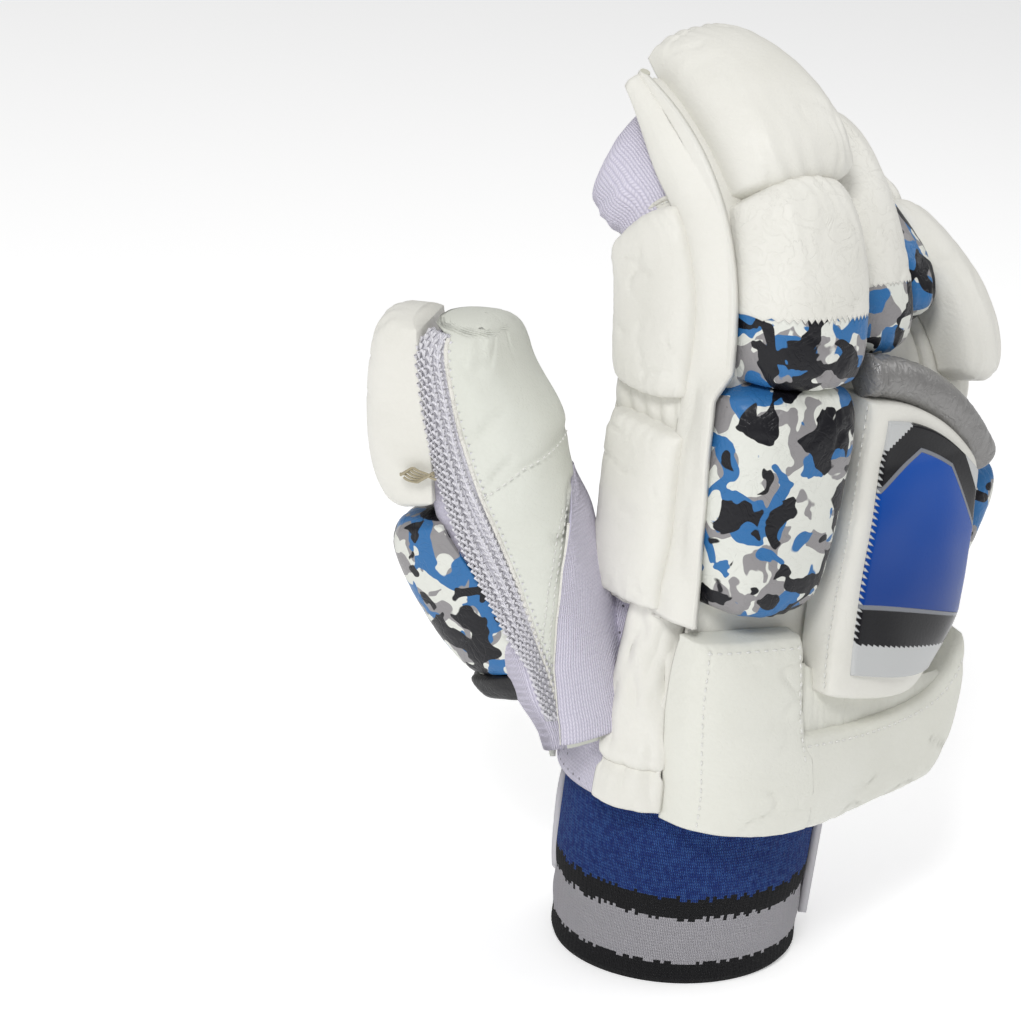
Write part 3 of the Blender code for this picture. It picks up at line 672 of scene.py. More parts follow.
for height, yarn in STRIPES:
    above = wires.math("GREATER_THAN", row, height / BAND_ROW)
    colour = wires.mix(above, colour, yarn)
blue = wires.times(wires.math("GREATER_THAN", row, STRIPES[2][0] / BAND_ROW),
                  wires.math("LESS_THAN", row, STRIPES[3][0] / BAND_ROW))
fleck = wires.noise(object_place(wires), 520.0, 2.0, 0.7)
fleck = wires.ramp(wires.times(fleck, wires.plus(loops["Height"], 0.4)), 0.42, 0.72)
colour = wires.mix(wires.times(blue, fleck), colour, BLUE_LIGHT)
pale = wires.times(wires.math("GREATER_THAN", row, STRIPES[0][0] / BAND_ROW),
                  wires.math("LESS_THAN", row, STRIPES[1][0] / BAND_ROW))
gap = wires.times(pale, wires.ramp(loops["Shade"], 0.55, 0.1))
colour = wires.mix(wires.times(gap, 0.65), colour, (0.22, 0.21, 0.30, 1.0))
wires.feed(shader.inputs["Base Color"], colour)
bump(wires, shader, loops["Height"], 0.9)


# %% Small finishes
def plain(name, colour, roughness, sheen=0.0, fine=1500.0, depth=0.08, metallic=0.0):
    material, wires, shader = new_material(name, roughness, metallic, sheen)
    speck = wires.noise(object_place(wires), fine, 3.0)
    shade = tuple(value * 0.8 for value in colour)
    wires.feed(shader.inputs["Base Color"], wires.mix(speck, (*colour, 1.0), (*shade, 1.0)))
    bump(wires, shader, speck, depth)
    return material


thread = plain("thread", (0.82, 0.82, 0.78), 0.6, sheen=0.3, fine=4000.0)
piping = plain("piping", (0.50, 0.49, 0.53), 0.7, sheen=0.2, fine=2200.0)
gusset_piping = plain("gusset_piping", (0.62, 0.61, 0.52), 0.65, sheen=0.2)
strap_coat = leather("strap_coat", (0.60, 0.59, 0.62), (0.52, 0.51, 0.54), 0.36,
                     1600.0, 0.1, 0.06)
loop_patch = plain("loop_patch", (0.25, 0.25, 0.27), 0.95, sheen=0.5, fine=2600.0, depth=0.3)
silver_yarn = plain("silver_yarn", (0.80, 0.79, 0.83), 0.45, sheen=0.3, fine=3000.0,
                    metallic=0.15)
print(len(bpy.data.materials), "materials")

# %% [markdown]
# ## What repeats is grown by Geometry Nodes
#
# A seam is hundreds of equal stitches along a path. Copying one by hand would
# do, but a node tree that walks the path keeps the pitch even on any curve and
# stays open to change: its pitch, length and thickness are inputs. The same
# way sets out the knitted loops of the thumb's stretch strip.

# %% Stitch tree
def node_tree_modifier(name, sockets):
    """An empty geometry tree with inputs; returns the tree, and its input and output nodes."""
    tree = bpy.data.node_groups.new(name, "GeometryNodeTree")
    tree.interface.new_socket("Geometry", in_out="INPUT", socket_type="NodeSocketGeometry")
    for label, (kind, value) in sockets.items():
        socket = tree.interface.new_socket(label, in_out="INPUT", socket_type=kind)
        if value is not None:
            socket.default_value = value
    tree.interface.new_socket("Geometry", in_out="OUTPUT", socket_type="NodeSocketGeometry")
    return tree, tree.nodes.new("NodeGroupInput"), tree.nodes.new("NodeGroupOutput")


def set_out(wires, start, end, points, shape, turn, size):
    """Ends a tree: the shape at every point, as real mesh, in the given material."""
    copies = wires.add("GeometryNodeInstanceOnPoints", {"Points": points, "Scale": size,
                                                        "Instance": shape.outputs["Mesh"],
                                                        "Rotation": turn.outputs[0]})
    real = wires.add("GeometryNodeRealizeInstances", {"Geometry": copies.outputs["Instances"]})
    painted = wires.add("GeometryNodeSetMaterial", {"Geometry": real.outputs["Geometry"],
                                                    "Material": start.outputs["Material"]})
    wires.feed(end.inputs["Geometry"], painted.outputs["Geometry"])


FLOAT = "NodeSocketFloat"
STITCH_SEED = 7
STITCH_SLANT = 0.12
stitch_tree, start, end = node_tree_modifier("stitches", {
    "Pitch": (FLOAT, 0.003), "Length": (FLOAT, 0.0022), "Thickness": (FLOAT, 0.0007),
    "Slant": (FLOAT, STITCH_SLANT), "Material": ("NodeSocketMaterial", None)})
wires = Wires(stitch_tree)
walk = wires.add("GeometryNodeResampleCurve", {"Curve": start.outputs["Geometry"],
                                               "Length": start.outputs["Pitch"]}, mode="LENGTH")
bead = wires.add("GeometryNodeMeshIcoSphere", {"Radius": 0.5, "Subdivisions": 1})
tangent = wires.add("GeometryNodeInputTangent")
turned = wires.add("FunctionNodeAlignRotationToVector", {"Vector": tangent.outputs[0]}, axis="X")
slant = wires.add("FunctionNodeRandomValue", data_type="FLOAT")
slant.inputs["Seed"].default_value = STITCH_SEED
low, high = [socket for socket in in_use(slant.inputs) if socket.name in ("Min", "Max")]
wires.feed(low, wires.times(start.outputs["Slant"], -1.0))
wires.feed(high, start.outputs["Slant"])
angle = wires.add("ShaderNodeCombineXYZ", {"Z": in_use(slant.outputs)[0]}).outputs[0]
tilt = wires.add("FunctionNodeEulerToRotation", {0: angle})
rotation = wires.add("FunctionNodeRotateRotation", {"Rotation": turned.outputs[0],
                                                    "Rotate By": tilt.outputs[0]},
                     rotation_space="LOCAL")
size = wires.add("ShaderNodeCombineXYZ", {"X": start.outputs["Length"],
                                          "Y": start.outputs["Thickness"],
                                          "Z": start.outputs["Thickness"]})
set_out(wires, start, end, walk.outputs["Curve"], bead, rotation, size.outputs[0])

# %% Loop tree, for a knit whose yarn is thick enough to see
loop_tree, start, end = node_tree_modifier("yarn loops", {
    "Size": (FLOAT, 0.0014), "Yarn": (FLOAT, 0.00035), "Material": ("NodeSocketMaterial", None)})
wires = Wires(loop_tree)
leg = wires.add("GeometryNodeCurveQuadraticBezier",
                {"Resolution": 3, "Start": (-0.42, 0.5, 0.0), "Middle": (0.0, -0.75, 0.5),
                 "End": (0.42, 0.5, 0.0)})
ring = wires.add("GeometryNodeCurvePrimitiveCircle", {"Resolution": 4}, mode="RADIUS")
wires.feed(ring.inputs["Radius"], wires.over(start.outputs["Yarn"], start.outputs["Size"]))
yarn = wires.add("GeometryNodeCurveToMesh", {"Curve": leg.outputs["Curve"],
                                             "Profile Curve": ring.outputs["Curve"]})
facing, heading = [in_use(wires.add("GeometryNodeInputNamedAttribute", {"Name": label},
                                    data_type="FLOAT_VECTOR").outputs)[0]
                   for label in ("facing", "heading")]
outward = wires.add("FunctionNodeAlignRotationToVector", {"Vector": facing}, axis="Z")
along_it = wires.add("FunctionNodeAlignRotationToVector",
                     {"Rotation": outward.outputs[0], "Vector": heading}, axis="Y", pivot_axis="Z")
set_out(wires, start, end, start.outputs["Geometry"], yarn, along_it, start.outputs["Size"])


# %% Growing a piece from a tree
def set_input(modifier, label, value):
    for item in modifier.node_group.interface.items_tree:
        if item.item_type == "SOCKET" and item.in_out == "INPUT" and item.name == label:
            modifier[item.identifier] = value


def evaluated_mesh(source):
    """The source's mesh with its modifiers or its curve's roundness applied."""
    graph = bpy.context.evaluated_depsgraph_get()
    return bpy.data.meshes.new_from_object(source.evaluated_get(graph), depsgraph=graph)


def swapped(name, source, material):
    """A plain mesh object in place of the source object."""
    mesh = evaluated_mesh(source)
    mesh.name = name
    bpy.data.objects.remove(source, do_unlink=True)
    mesh.materials.clear()
    mesh.materials.append(material)
    mesh.shade_smooth()
    return add_object(name, mesh)


def grow(name, source, tree, values):
    """Runs a tree on a source object and keeps the result."""
    modifier = source.modifiers.new("grow", "NODES")
    modifier.node_group = tree
    for label, value in values.items():
        set_input(modifier, label, value)
    return swapped(name, source, values["Material"])


def finish_piece(made, replaced=()):
    """Every piece rides on the one body, and the solids it replaces are hidden."""
    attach(made, "root")
    if replaced:
        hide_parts(*replaced)


def poly_curve(name, lines):
    curve = bpy.data.curves.new(name, "CURVE")
    curve.dimensions = "3D"
    for points in lines:
        spline = curve.splines.new("POLY")
        spline.points.add(len(points) - 1)
        for spot, point in zip(spline.points, points):
            spot.co = (*put(point), 1.0)
    return add_object(name, curve)


def sew(name, lines, pitch=3.0, length=2.1, thickness=0.75):
    """Rows of stitches along lines of points in millimetres."""
    made = grow(name, poly_curve(name, lines), stitch_tree,
                {"Pitch": pitch * MM, "Length": length * MM, "Thickness": thickness * MM,
                 "Slant": STITCH_SLANT, "Material": thread})
    finish_piece(made)


def tube(name, lines, radius, material):
    """A round piping or cord along lines of points."""
    source = poly_curve(name, lines)
    source.data.bevel_depth = radius * MM
    source.data.bevel_resolution = 2
    source.data.use_fill_caps = True
    finish_piece(swapped(name, source, material))


print("trees:", stitch_tree.name, "and", loop_tree.name)

# %% [markdown]
# ## How a pad is made
#
# A batting glove's roll is a foam bar under leather that is stitched down
# all round: steep at its rim, nearly flat on top, and gathered at its ends.
# It could be a cube under Subdivision Surface, but the gathers and the narrow
# sewn flange need more points than a cage has. So a pad here is a height over
# its outline, on a grid that is closer where it turns down.

# %% Pad
def creased(place, depth, width=0.05):
    """Depth of the thin creases that run where a noise passes through nought."""
    where = noise.noise(place)
    shown = smooth_step(noise.noise(place * 0.7 + Vector((9.0, 3.0, 5.0))) * 3.0 + 0.5)
    return depth * shown * math.exp(-(where / width) ** 2)


class Pad:
    """A sewn pad: at(a, b, lift) carries its plan, which runs from -1 to 1 both ways."""

    def __init__(self, at, half, thick, shoulders=(2.6, 4.0), corner=0.5, flange=0.0,
                 gathers=0.5, ridge=0.0, seed=0.0):
        self.at = at
        self.half = half
        self.thick = thick
        self.shoulders = shoulders
        self.corner = corner
        self.flange = flange
        self.gathers = gathers
        self.ridge = ridge
        self.seed = seed

    def lift(self, a, b):
        """Height of the leather over the sewn base at a place of the plan."""
        half_a, half_b = self.half
        inner_a = min(abs(a) * half_a / (half_a - (self.flange if a < 0.0 else 0.0)), 1.0)
        inner_b = min(abs(b) * half_b / (half_b - self.flange), 1.0)
        power_a, power_b = self.shoulders
        thick = blend(*self.thick, to_share(b))
        puff = (1.0 - inner_a ** power_a) ** (1.0 / power_a)
        puff *= (1.0 - inner_b ** power_b) ** (1.0 / power_b)
        puff *= 1.0 + self.ridge * (1.0 - min(abs(a) * 2.0, 1.0))
        height = thick * puff
        to_end = (1.0 - inner_b) * half_b
        to_side = (1.0 - inner_a) * half_a
        rough = noise.noise(Vector((a * half_a, b * half_b, self.seed * 7.0)) / 7.0)
        pull = math.sin(a * half_a * 1.15 + rough * 5.0 + self.seed)
        height += self.gathers * pull * math.exp(-to_end / 7.0) * min(puff * 2.0, 1.0)
        pull = math.sin(b * half_b * 0.95 + rough * 5.0 + self.seed)
        height += 0.45 * self.gathers * pull * math.exp(-to_side / 4.0) * min(puff * 2.0, 1.0)
        height += 0.7 * noise.noise(Vector((a * half_a, b * half_b, self.seed * 3.0)) / 19.0) * puff
        height -= creased(Vector((a * half_a / 16.0, b * half_b / 12.0, self.seed * 2.0)),
                          0.7 if self.gathers else 0.0) * puff
        return max(height, 0.0) + (0.9 if self.flange else 0.0)

    def spot(self, a, b, above=0.0):
        """A point on the leather, or above it."""
        plan_a, plan_b = self.plan(a, b)
        return self.at(plan_a, plan_b, self.lift(a, b) + above)

    def plan(self, a, b):
        """Rounds the outline's corners."""
        return (a * math.sqrt(1.0 - self.corner * b * b / 2.0),
                b * math.sqrt(1.0 - self.corner * a * a / 2.0))

    def build(self, name, columns, rows, material):
        shape = bmesh.new()
        place = shape.loops.layers.uv.new("Place")

        def spread(number, count, power):
            angle = math.pi * number / count
            cosine = -math.cos(angle)
            return math.copysign(abs(cosine) ** (2.0 / power), cosine)

        across = [blend(spread(i, columns, 2.3), 2.0 * i / columns - 1.0, 0.35)
                  for i in range(columns + 1)]
        along = [blend(spread(j, rows, 2.6), 2.0 * j / rows - 1.0, 0.45) for j in range(rows + 1)]
        uv_of = {}
        grid = []
        for b in along:
            line = []
            for a in across:
                vertex = shape.verts.new(put(self.spot(a, b)))
                uv_of[vertex] = (a * self.half[0], b * self.half[1])
                line.append(vertex)
            grid.append(line)
        for j in range(rows):
            for i in range(columns):
                shape.faces.new((grid[j][i], grid[j][i + 1], grid[j + 1][i + 1], grid[j + 1][i]))
        base = {}
        rim = ([grid[0][i] for i in range(columns + 1)] + [grid[j][-1] for j in range(1, rows)]
               + [grid[-1][i] for i in range(columns, -1, -1)]
               + [grid[j][0] for j in range(rows - 1, 0, -1)])
        spots = ([(a, -1.0) for a in across] + [(1.0, b) for b in along[1:-1]]
                 + [(a, 1.0) for a in reversed(across)]
                 + [(-1.0, b) for b in reversed(along[1:-1])])
        for vertex, (a, b) in zip(rim, spots):
            base[vertex] = shape.verts.new(put(self.at(*self.plan(a, b), -0.6)))
            uv_of[base[vertex]] = uv_of[vertex]
        for first, second in zip(rim, rim[1:] + rim[:1]):
            shape.faces.new((first, base[first], base[second], second))
        for j in range(1, rows - 1):
            shape.faces.new((base[grid[j][0]], base[grid[j + 1][0]],
                             base[grid[j + 1][-1]], base[grid[j][-1]]))
        for row, beside in ((grid[0], grid[1]), (grid[-1], grid[-2])):
            shape.faces.new([base[v] for v in row] + [base[beside[-1]], base[beside[0]]])
        bmesh.ops.recalc_face_normals(shape, faces=shape.faces)
        for face in shape.faces:
            for loop in face.loops:
                loop[place].uv = uv_of[loop.vert]
        return object_from(shape, name, material)

    def border(self, inset, above, sides, steps=60):
        """Lines on the leather, a distance inside the outline's sides."""
        edge_a = 1.0 - inset / self.half[0]
        edge_b = 1.0 - inset / self.half[1]
        runs = {"low": [(blend(-edge_a, edge_a, s), -edge_b) for s in shares(steps)],
                "high": [(blend(edge_a, -edge_a, s), edge_b) for s in shares(steps)],
                "left": [(-edge_a, blend(edge_b, -edge_b, s)) for s in shares(steps)]}
        return [[self.spot(a, b, above) for a, b in runs[side]] for side in sides]


def object_from(shape, name, material):
    made = plain_object(shape, name)
    made.data.materials.append(material)
    made.data.shade_smooth()
    return made


# %% [markdown]
# ## How a sheet is made
#
# Panels and knitted walls are all a surface with a small thickness.
# The surface is a grid over a formula, and Solidify gives it the wall, so that
# cut edges and openings show their true thickness.

# %% Sheet
def sheet_grid(name, columns, rows, point, material, thick, size, closed=False, tip=None):
    """A wall from a grid of points; point(s, t) takes shares, size is its width and length."""
    shape = bmesh.new()
    place = shape.loops.layers.uv.new("Place")
    count = columns if closed else columns + 1
    grid = [[shape.verts.new(put(point(i / columns, j / rows))) for i in range(count)]
            for j in range(rows + 1)]
    width, length = size

    def add_face(corners, spots):
        face = shape.faces.new(corners)
        for loop, (i, j) in zip(face.loops, spots):
            loop[place].uv = (width * i / columns, length * j / rows)

    for j in range(rows):
        for i in range(columns):
            after = (i + 1) % count
            add_face((grid[j][i], grid[j + 1][i], grid[j + 1][after], grid[j][after]),
                     ((i, j), (i, j + 1), (i + 1, j + 1), (i + 1, j)))
    if tip is not None:
        top = shape.verts.new(put(tip))
        for i in range(columns):
            add_face((grid[-1][i], top, grid[-1][(i + 1) % count]),
                     ((i, rows), (i, rows + 1), (i + 1, rows)))
    made = object_from(shape, name, material)
    if thick:
        wall = made.modifiers.new("wall", "SOLIDIFY")
        wall.thickness = thick * MM
        wall.offset = -1.0
        bake(made)
    return made


def bake(made):
    """Applies a piece's modifiers by taking its evaluated mesh."""
    mesh = evaluated_mesh(made)
    old = made.data
    made.modifiers.clear()
    made.data = mesh
    bpy.data.meshes.remove(old)
    mesh.name = made.name


def cut_away(made, cutters):
    """Cuts solids out of a piece and removes them."""
    for cutter in cutters:
        modifier = made.modifiers.new("cut", "BOOLEAN")
        modifier.operation = "DIFFERENCE"
        modifier.solver = "EXACT"
        modifier.object = cutter
        bake(made)
        bpy.data.objects.remove(cutter, do_unlink=True)


def ring_solid(name, sides, levels, point):
    """A closed solid through rings, to cut with."""
    shape = bmesh.new()
    rows = [[shape.verts.new(put(point(level, 360.0 * i / sides))) for i in range(sides)]
            for level in levels]
    for low, high in zip(rows, rows[1:]):
        for i in range(sides):
            after = (i + 1) % sides
            shape.faces.new((low[i], high[i], high[after], low[after]))
    shape.faces.new(rows[0])
    shape.faces.new(list(reversed(rows[-1])))
    bmesh.ops.recalc_face_normals(shape, faces=shape.faces)
    return plain_object(shape, name)


print("pads and sheets can be made")

# %% [markdown]
# ## The wrist band
#
# The band is a rib-knitted tube, so its surface is rows of upright ribs. A
# smooth tube with a bump map would keep a ruler-straight outline, so every
# second rib stands out in the mesh itself, and the loops on each rib and the
# yarn's stripes are in the finish. The band draws in a little above its rim.

# %% Wrist band
BAND_RIBS = 118
BAND_GIRTH = math.pi * (BAND_BOTTOM[0] + BAND_BOTTOM[1])
BAND_SLACK = 0.9


def band_outside(share_round, share_up):
    angle = 360.0 * share_round
    height = BAND_HEIGHT * share_up
    rib = 0.10 * math.cos(2.0 * math.pi * BAND_RIBS * share_round)
    draw = 0.7 * hump(height, 21.0, 5.0) + 0.5 * hump(height, 8.0, 4.0)
    turn = math.radians(angle)
    sag = BAND_SLACK * ripple(math.cos(turn) * 1.3, math.sin(turn) * 1.3, height / 42.0)
    edge = min(height / 1.6, (BAND_HEIGHT - height) / 1.6, 1.0)
    return band_point(height, angle, rib * edge - draw * edge + sag * edge
                      - 0.8 * (1.0 - max(edge, 0.0)))


def band_all(share_round, share_through):
    """Up the outside, over the rim, and down the inside."""
    if share_through <= 0.7:
        return band_outside(share_round, share_through / 0.7)
    if share_through >= 0.999:
        return band_outside(share_round, 0.0)
    height = BAND_HEIGHT * (1.0 - (share_through - 0.74) / 0.24)
    return band_point(min(max(height, 0.0), BAND_HEIGHT), 360.0 * share_round, -BAND_WALL)


band = sheet_grid("knit_band", BAND_RIBS * 4, 50, band_all, band_knit, 0.0,
                  (BAND_GIRTH, BAND_HEIGHT / 0.7), closed=True)
finish_piece(band, ("wrist_band",))
print("band:", len(band.data.polygons), "faces")

# %% [markdown]
# ## The wrist strap
#
# On the palm side a moulded tab closes over a loop patch. It is stiff, with a
# rounded end, a sewn border and one raised panel, which is left bare. The tab
# is a sheet over the band's oval, so it keeps the band's curve.

# %% Strap tab
TAB_LOW, TAB_HIGH, TAB_START, TAB_STOP = 8.0, 58.0, 232.0, 396.0
TAB_LIFT = 3.5
TAB_LENGTH = 122.0


def tab_point(share_along, share_up, lift=TAB_LIFT):
    end = max(1.0 - share_along / 0.16, 0.0)
    half = (TAB_HIGH - TAB_LOW) / 2.0 * (1.0 - 0.30 * end ** 2.2)
    height = (TAB_HIGH + TAB_LOW) / 2.0 + half * (2.0 * share_up - 1.0)
    rounded = 1.0 - 0.25 * end * abs(2.0 * share_up - 1.0) ** 3
    return band_point(height, blend(TAB_START, TAB_STOP, share_along), lift * rounded)


tab = sheet_grid("strap", 72, 24, tab_point, strap_coat, 2.8, (TAB_LENGTH, TAB_HIGH - TAB_LOW))
finish_piece(tab, ("strap_tab",))


def tab_panel(name, reach, half, thick, under, grid, replaced=()):
    """A raised field in the middle of the tab; reach is its half size as shares of the tab."""
    def at(a, b, lift):
        return tab_point(0.40 + reach[0] * a, 0.5 + reach[1] * b, TAB_LIFT + under + lift)

    field = Pad(at, half, (thick, thick), shoulders=(9.0, 9.0), corner=0.12, gathers=0.0)
    finish_piece(field.build(name, *grid, strap_coat), replaced)


tab_panel("strap_raised_panel", (0.235, 0.31), (28.0, 15.5), 1.9, 0.0, (40, 24), ("strap_panel",))
tab_panel("strap_inner_panel", (0.205, 0.25), (24.5, 12.5), 1.2, 1.3, (36, 20))
rows = []
for share_up in (0.07, 0.93):
    rows.append([tab_point(blend(0.03, 0.97, s), share_up, TAB_LIFT + 0.2) for s in shares(80)])
rows.append([tab_point(0.03, blend(0.07, 0.93, s), TAB_LIFT + 0.2) for s in shares(30)])
for share in (0.90, 0.97):
    rows.append([tab_point(share, blend(0.04, 0.96, s), TAB_LIFT + 0.2) for s in shares(30)])
sew("strap_stitches", rows, pitch=2.8, length=1.9, thickness=0.6)


def patch_point(share_along, share_up):
    return band_point(blend(5.0, 14.0, share_up), blend(246.0, 330.0, share_along), 0.7)


finish_piece(sheet_grid("strap_loop_patch", 40, 6, patch_point, loop_patch, 0.8, (60.0, 9.0)))
print("strap: tab, raised panel, patch and", len(rows), "rows of stitches")

# %% [markdown]
# ## The knitted hand
#
# Inside the leather is a stretch-knit hand. It shows as the gusset between
# palm and side pads, with rows of small holes, and as the lining at the wrist.
# It is one tube with the thumb's hole cut out, thick enough to be a real wall.

# %% Knitted hand
HAND_LOW, HAND_HIGH = 62.0, 178.0
HAND_GIRTH = 300.0


def knit_hand(share_round, share_up):
    height = blend(HAND_LOW, HAND_HIGH, share_up)
    angle = 360.0 * share_round
    side = hump(angle, 205.0, 22.0)
    fold = 1.1 * side * math.sin(height / 6.5 + math.sin(angle / 9.0))
    loose = 0.8 * ripple(angle / 26.0, height / 13.0, 2.0)
    edge = fade(share_up, 12.0)
    return hand_point(height, angle, (fold * 0.5 + loose * side - 0.4) * edge)


hand = sheet_grid("knitted_hand", 160, 72, knit_hand, mesh_knit, KNIT,
                  (HAND_GIRTH, HAND_HIGH - HAND_LOW), closed=True)
hole = ring_solid("thumb_hole", 24, [4.0, 20.0, 40.0, 62.0],
                  lambda level, angle: thumb.ring(level, angle, -KNIT - 1.0, THUMB_SQUARE))
cut_away(hand, [hole])
finish_piece(hand, ("hand_body",))

# %% [markdown]
# ## Palm leather
#
# The palm is soft split leather in one panel, with a row of round vents, a
# darted seam, and a second layer sewn on below the thumb. It lies close on the
# knit. The vents are cut right through, since they show dark and round.

# %% Palm
PALM_START, PALM_STOP = 207.0, 342.0
PALM_LOW, PALM_HIGH = 64.0, 177.3
PALM_SLACK = 0.5
VENTS = [(262, 150), (272, 156), (283, 157), (294, 152), (266, 136), (279, 133), (291, 137),
         (273, 120)]    # angle and height of each
VENT_RADIUS = 1.5


def palm_point(share_round, share_up):
    angle = blend(PALM_START, PALM_STOP, share_round)
    height = blend(PALM_LOW, PALM_HIGH, share_up)
    wave = 0.7 * ripple(angle / 15.0, height / 17.0, 5.0)
    edge = min(fade(share_round, 14.0), fade(share_up, 10.0))
    return hand_point(height, angle, OVER_KNIT + PALM_SLACK + wave * edge)


palm = sheet_grid("palm_panel", 110, 90, palm_point, palm_leather, 1.8, (128.0, 114.0))
around_thumb = ring_solid("around_thumb", 32, [-16.0, 0.0, 30.0, 60.0, 100.0],
                          lambda level, angle: thumb.ring(level, angle, OVER_KNIT + 0.2,
                                                          THUMB_SQUARE))
punches = []
for angle, height in VENTS:
    centre = put(hand_point(height, angle, 0.0))
    outward = (put(hand_point(height, angle, 10.0)) - centre).normalized()
    shape = bmesh.new()
    bmesh.ops.create_cone(shape, cap_ends=True, segments=16, radius1=VENT_RADIUS * MM,
                          radius2=VENT_RADIUS * MM, depth=16.0 * MM)
    turn = outward.to_track_quat("Z", "Y").to_matrix().to_4x4()
    shape.transform(Matrix.Translation(centre) @ turn)
    punches.append(plain_object(shape, "vent"))
cut_away(palm, [around_thumb] + punches)
finish_piece(palm, ("palm_leather",))


def palm_line(places, above=0.25):
    """A line on the palm through (angle, height) places."""
    lift = OVER_KNIT + PALM_SLACK + above
    return [hand_point(blend(low[1], high[1], share), blend(low[0], high[0], share), lift)
            for low, high in zip(places, places[1:]) for share in shares(24)[:-1]]


sew("palm_seams", [palm_line([(258, 66), (246, 84), (243, 110), (240, 140)]),
                   palm_line([(262, 66), (250, 84), (247, 110), (244, 140)]),
                   palm_line([(336, 72), (338, 110), (334, 150), (328, 172)]),
                   palm_line([(232, 172), (262, 169), (300, 170), (328, 172)]),
                   palm_line([(268, 66), (292, 92), (312, 112), (334, 126)])],
    pitch=2.6, length=1.8, thickness=0.55)
tube("palm_hem", [palm_line([(222, 65.0), (262, 65.0), (300, 65.0), (340, 65.0)], 0.2)], 1.5,
     piping)
tube("palm_edge", [palm_line([(342, 66), (342, 110), (342, 150), (338, 177)], 0.0)], 1.1,
     piping)
print("palm with", len(VENTS), "vents")

# %% [markdown]
# ## Fingers
#
# Each finger is a knitted tube with a leather strip sewn to its front, piped
# along both edges, and a foam-backed leather carrier on its back. The knit
# folds across the inside of the bend, so its wall has shallow cross folds.

# %% Finger tubes, fronts and carriers
FRONT_START, FRONT_STOP = 216.0, 324.0
GUSSET_BULGE = 7.0


def finger_tube(name, finger):
    length = finger.size["length"]

    def point(share_round, share_up):
        along = blend(GAP, length - 0.5, math.sin(share_up * math.pi / 2.0) ** 0.8)
        angle = 360.0 * share_round
        inside = hump(angle, 270.0, 70.0)
        bent = smooth_step((along - finger.size["start"] + 14.0) / 25.0)
        fold = 0.9 * inside * bent * math.sin(along / 2.1 + math.sin(angle / 17.0))
        loose = 0.5 * ripple(angle / 30.0, along / 9.0, finger.size["x"])
        gusset = math.exp(-((angle - 196.0) / 36.0) ** 2 - ((along - 88.0) / 22.0) ** 2)
        stretch = (GUSSET_BULGE + 1.6 * ripple(angle / 14.0, along / 5.0, 1.0))
        return finger.ring(along, angle, fold + loose - 0.2 + gusset * stretch * (name == "index"),
                           FINGER_SQUARE)

    girth = 3.2 * sum(finger.half_sizes(length / 2.0))
    made = sheet_grid(f"{name}_knit", 72, 60, point, pale_knit, KNIT, (girth, length), closed=True,
                      tip=finger.at(length - 0.2, 0.0, 0.0))
    finish_piece(made, (f"{name}_sleeve",))


def finger_front(name, finger):
    last = finger.size["length"] - TIP_ROUND + 1.0

    def spot(share_round, share_up, above=0.0):
        along = blend(GAP + 0.2, last, share_up)
        narrow = 12.0 * max(share_up - 0.86, 0.0) / 0.14
        narrow = narrow * narrow / 12.0
        angle = blend(FRONT_START + narrow, FRONT_STOP - narrow, share_round)
        crown = 1.2 * math.sin(math.pi * share_round)
        crease = 0.45 * math.sin(along / 3.1) * smooth_step((along - finger.size["start"]) / 20.0)
        return finger.ring(along, angle, OVER_KNIT + crown + crease * 0.5 - 0.4 + above,
                           FINGER_SQUARE)

    made = sheet_grid(f"{name}_front_leather", 24, 56, spot, palm_leather, 1.7,
                      (26.0, last))
    finish_piece(made, (f"{name}_front",))
    edges = [[spot(share, s, 0.2) for s in shares(60)] for share in (0.0, 1.0)]
    across = [spot(s, 1.0, 0.2) for s in shares(24)]
    tube(f"{name}_front_piping", [edges[0] + across[1:-1] + list(reversed(edges[1]))], 1.15,
         piping)
    return [[spot(share, blend(0.03, 0.95, s), 0.15) for s in shares(60)]
            for share in (0.13, 0.87)]


def finger_carrier(name, finger):
    length = finger.size["length"] - 4.0

    def at(a, b, lift):
        along = blend(GAP + 1.0, length, to_share(b))
        half_across, half_out = finger.half_sizes(along)
        return finger.at(along, a * (half_across + 0.4), half_out + GAP + 0.4 + lift)

    carrier = Pad(at, (finger.half_sizes(0.0)[0], length / 2.0), (LINER - 0.8, LINER - 2.0),
                  shoulders=(7.0, 9.0), corner=0.15, gathers=0.3, seed=finger.size["x"])
    finish_piece(carrier.build(f"{name}_carrier", 20, 50, white_leather),
                 (f"{name}_back",))


front_rows = []
for name, finger in fingers.items():
    finger_tube(name, finger)
    front_rows += finger_front(name, finger)
    finger_carrier(name, finger)
sew("finger_front_stitches", front_rows, pitch=2.6, length=1.8, thickness=0.5)
print("fingers:", ", ".join(fingers))

# %% [markdown]
# ## The rolls
#
# Rows of short padded rolls let the fingers bend. Every roll is sewn down
# before the next is filled, so neighbours touch in tight grooves and their
# ends are gathered. The lower rows are cut from printed leather, and where it
# meets the white leather its edge is pinked, a zigzag cut that doesn't fray.

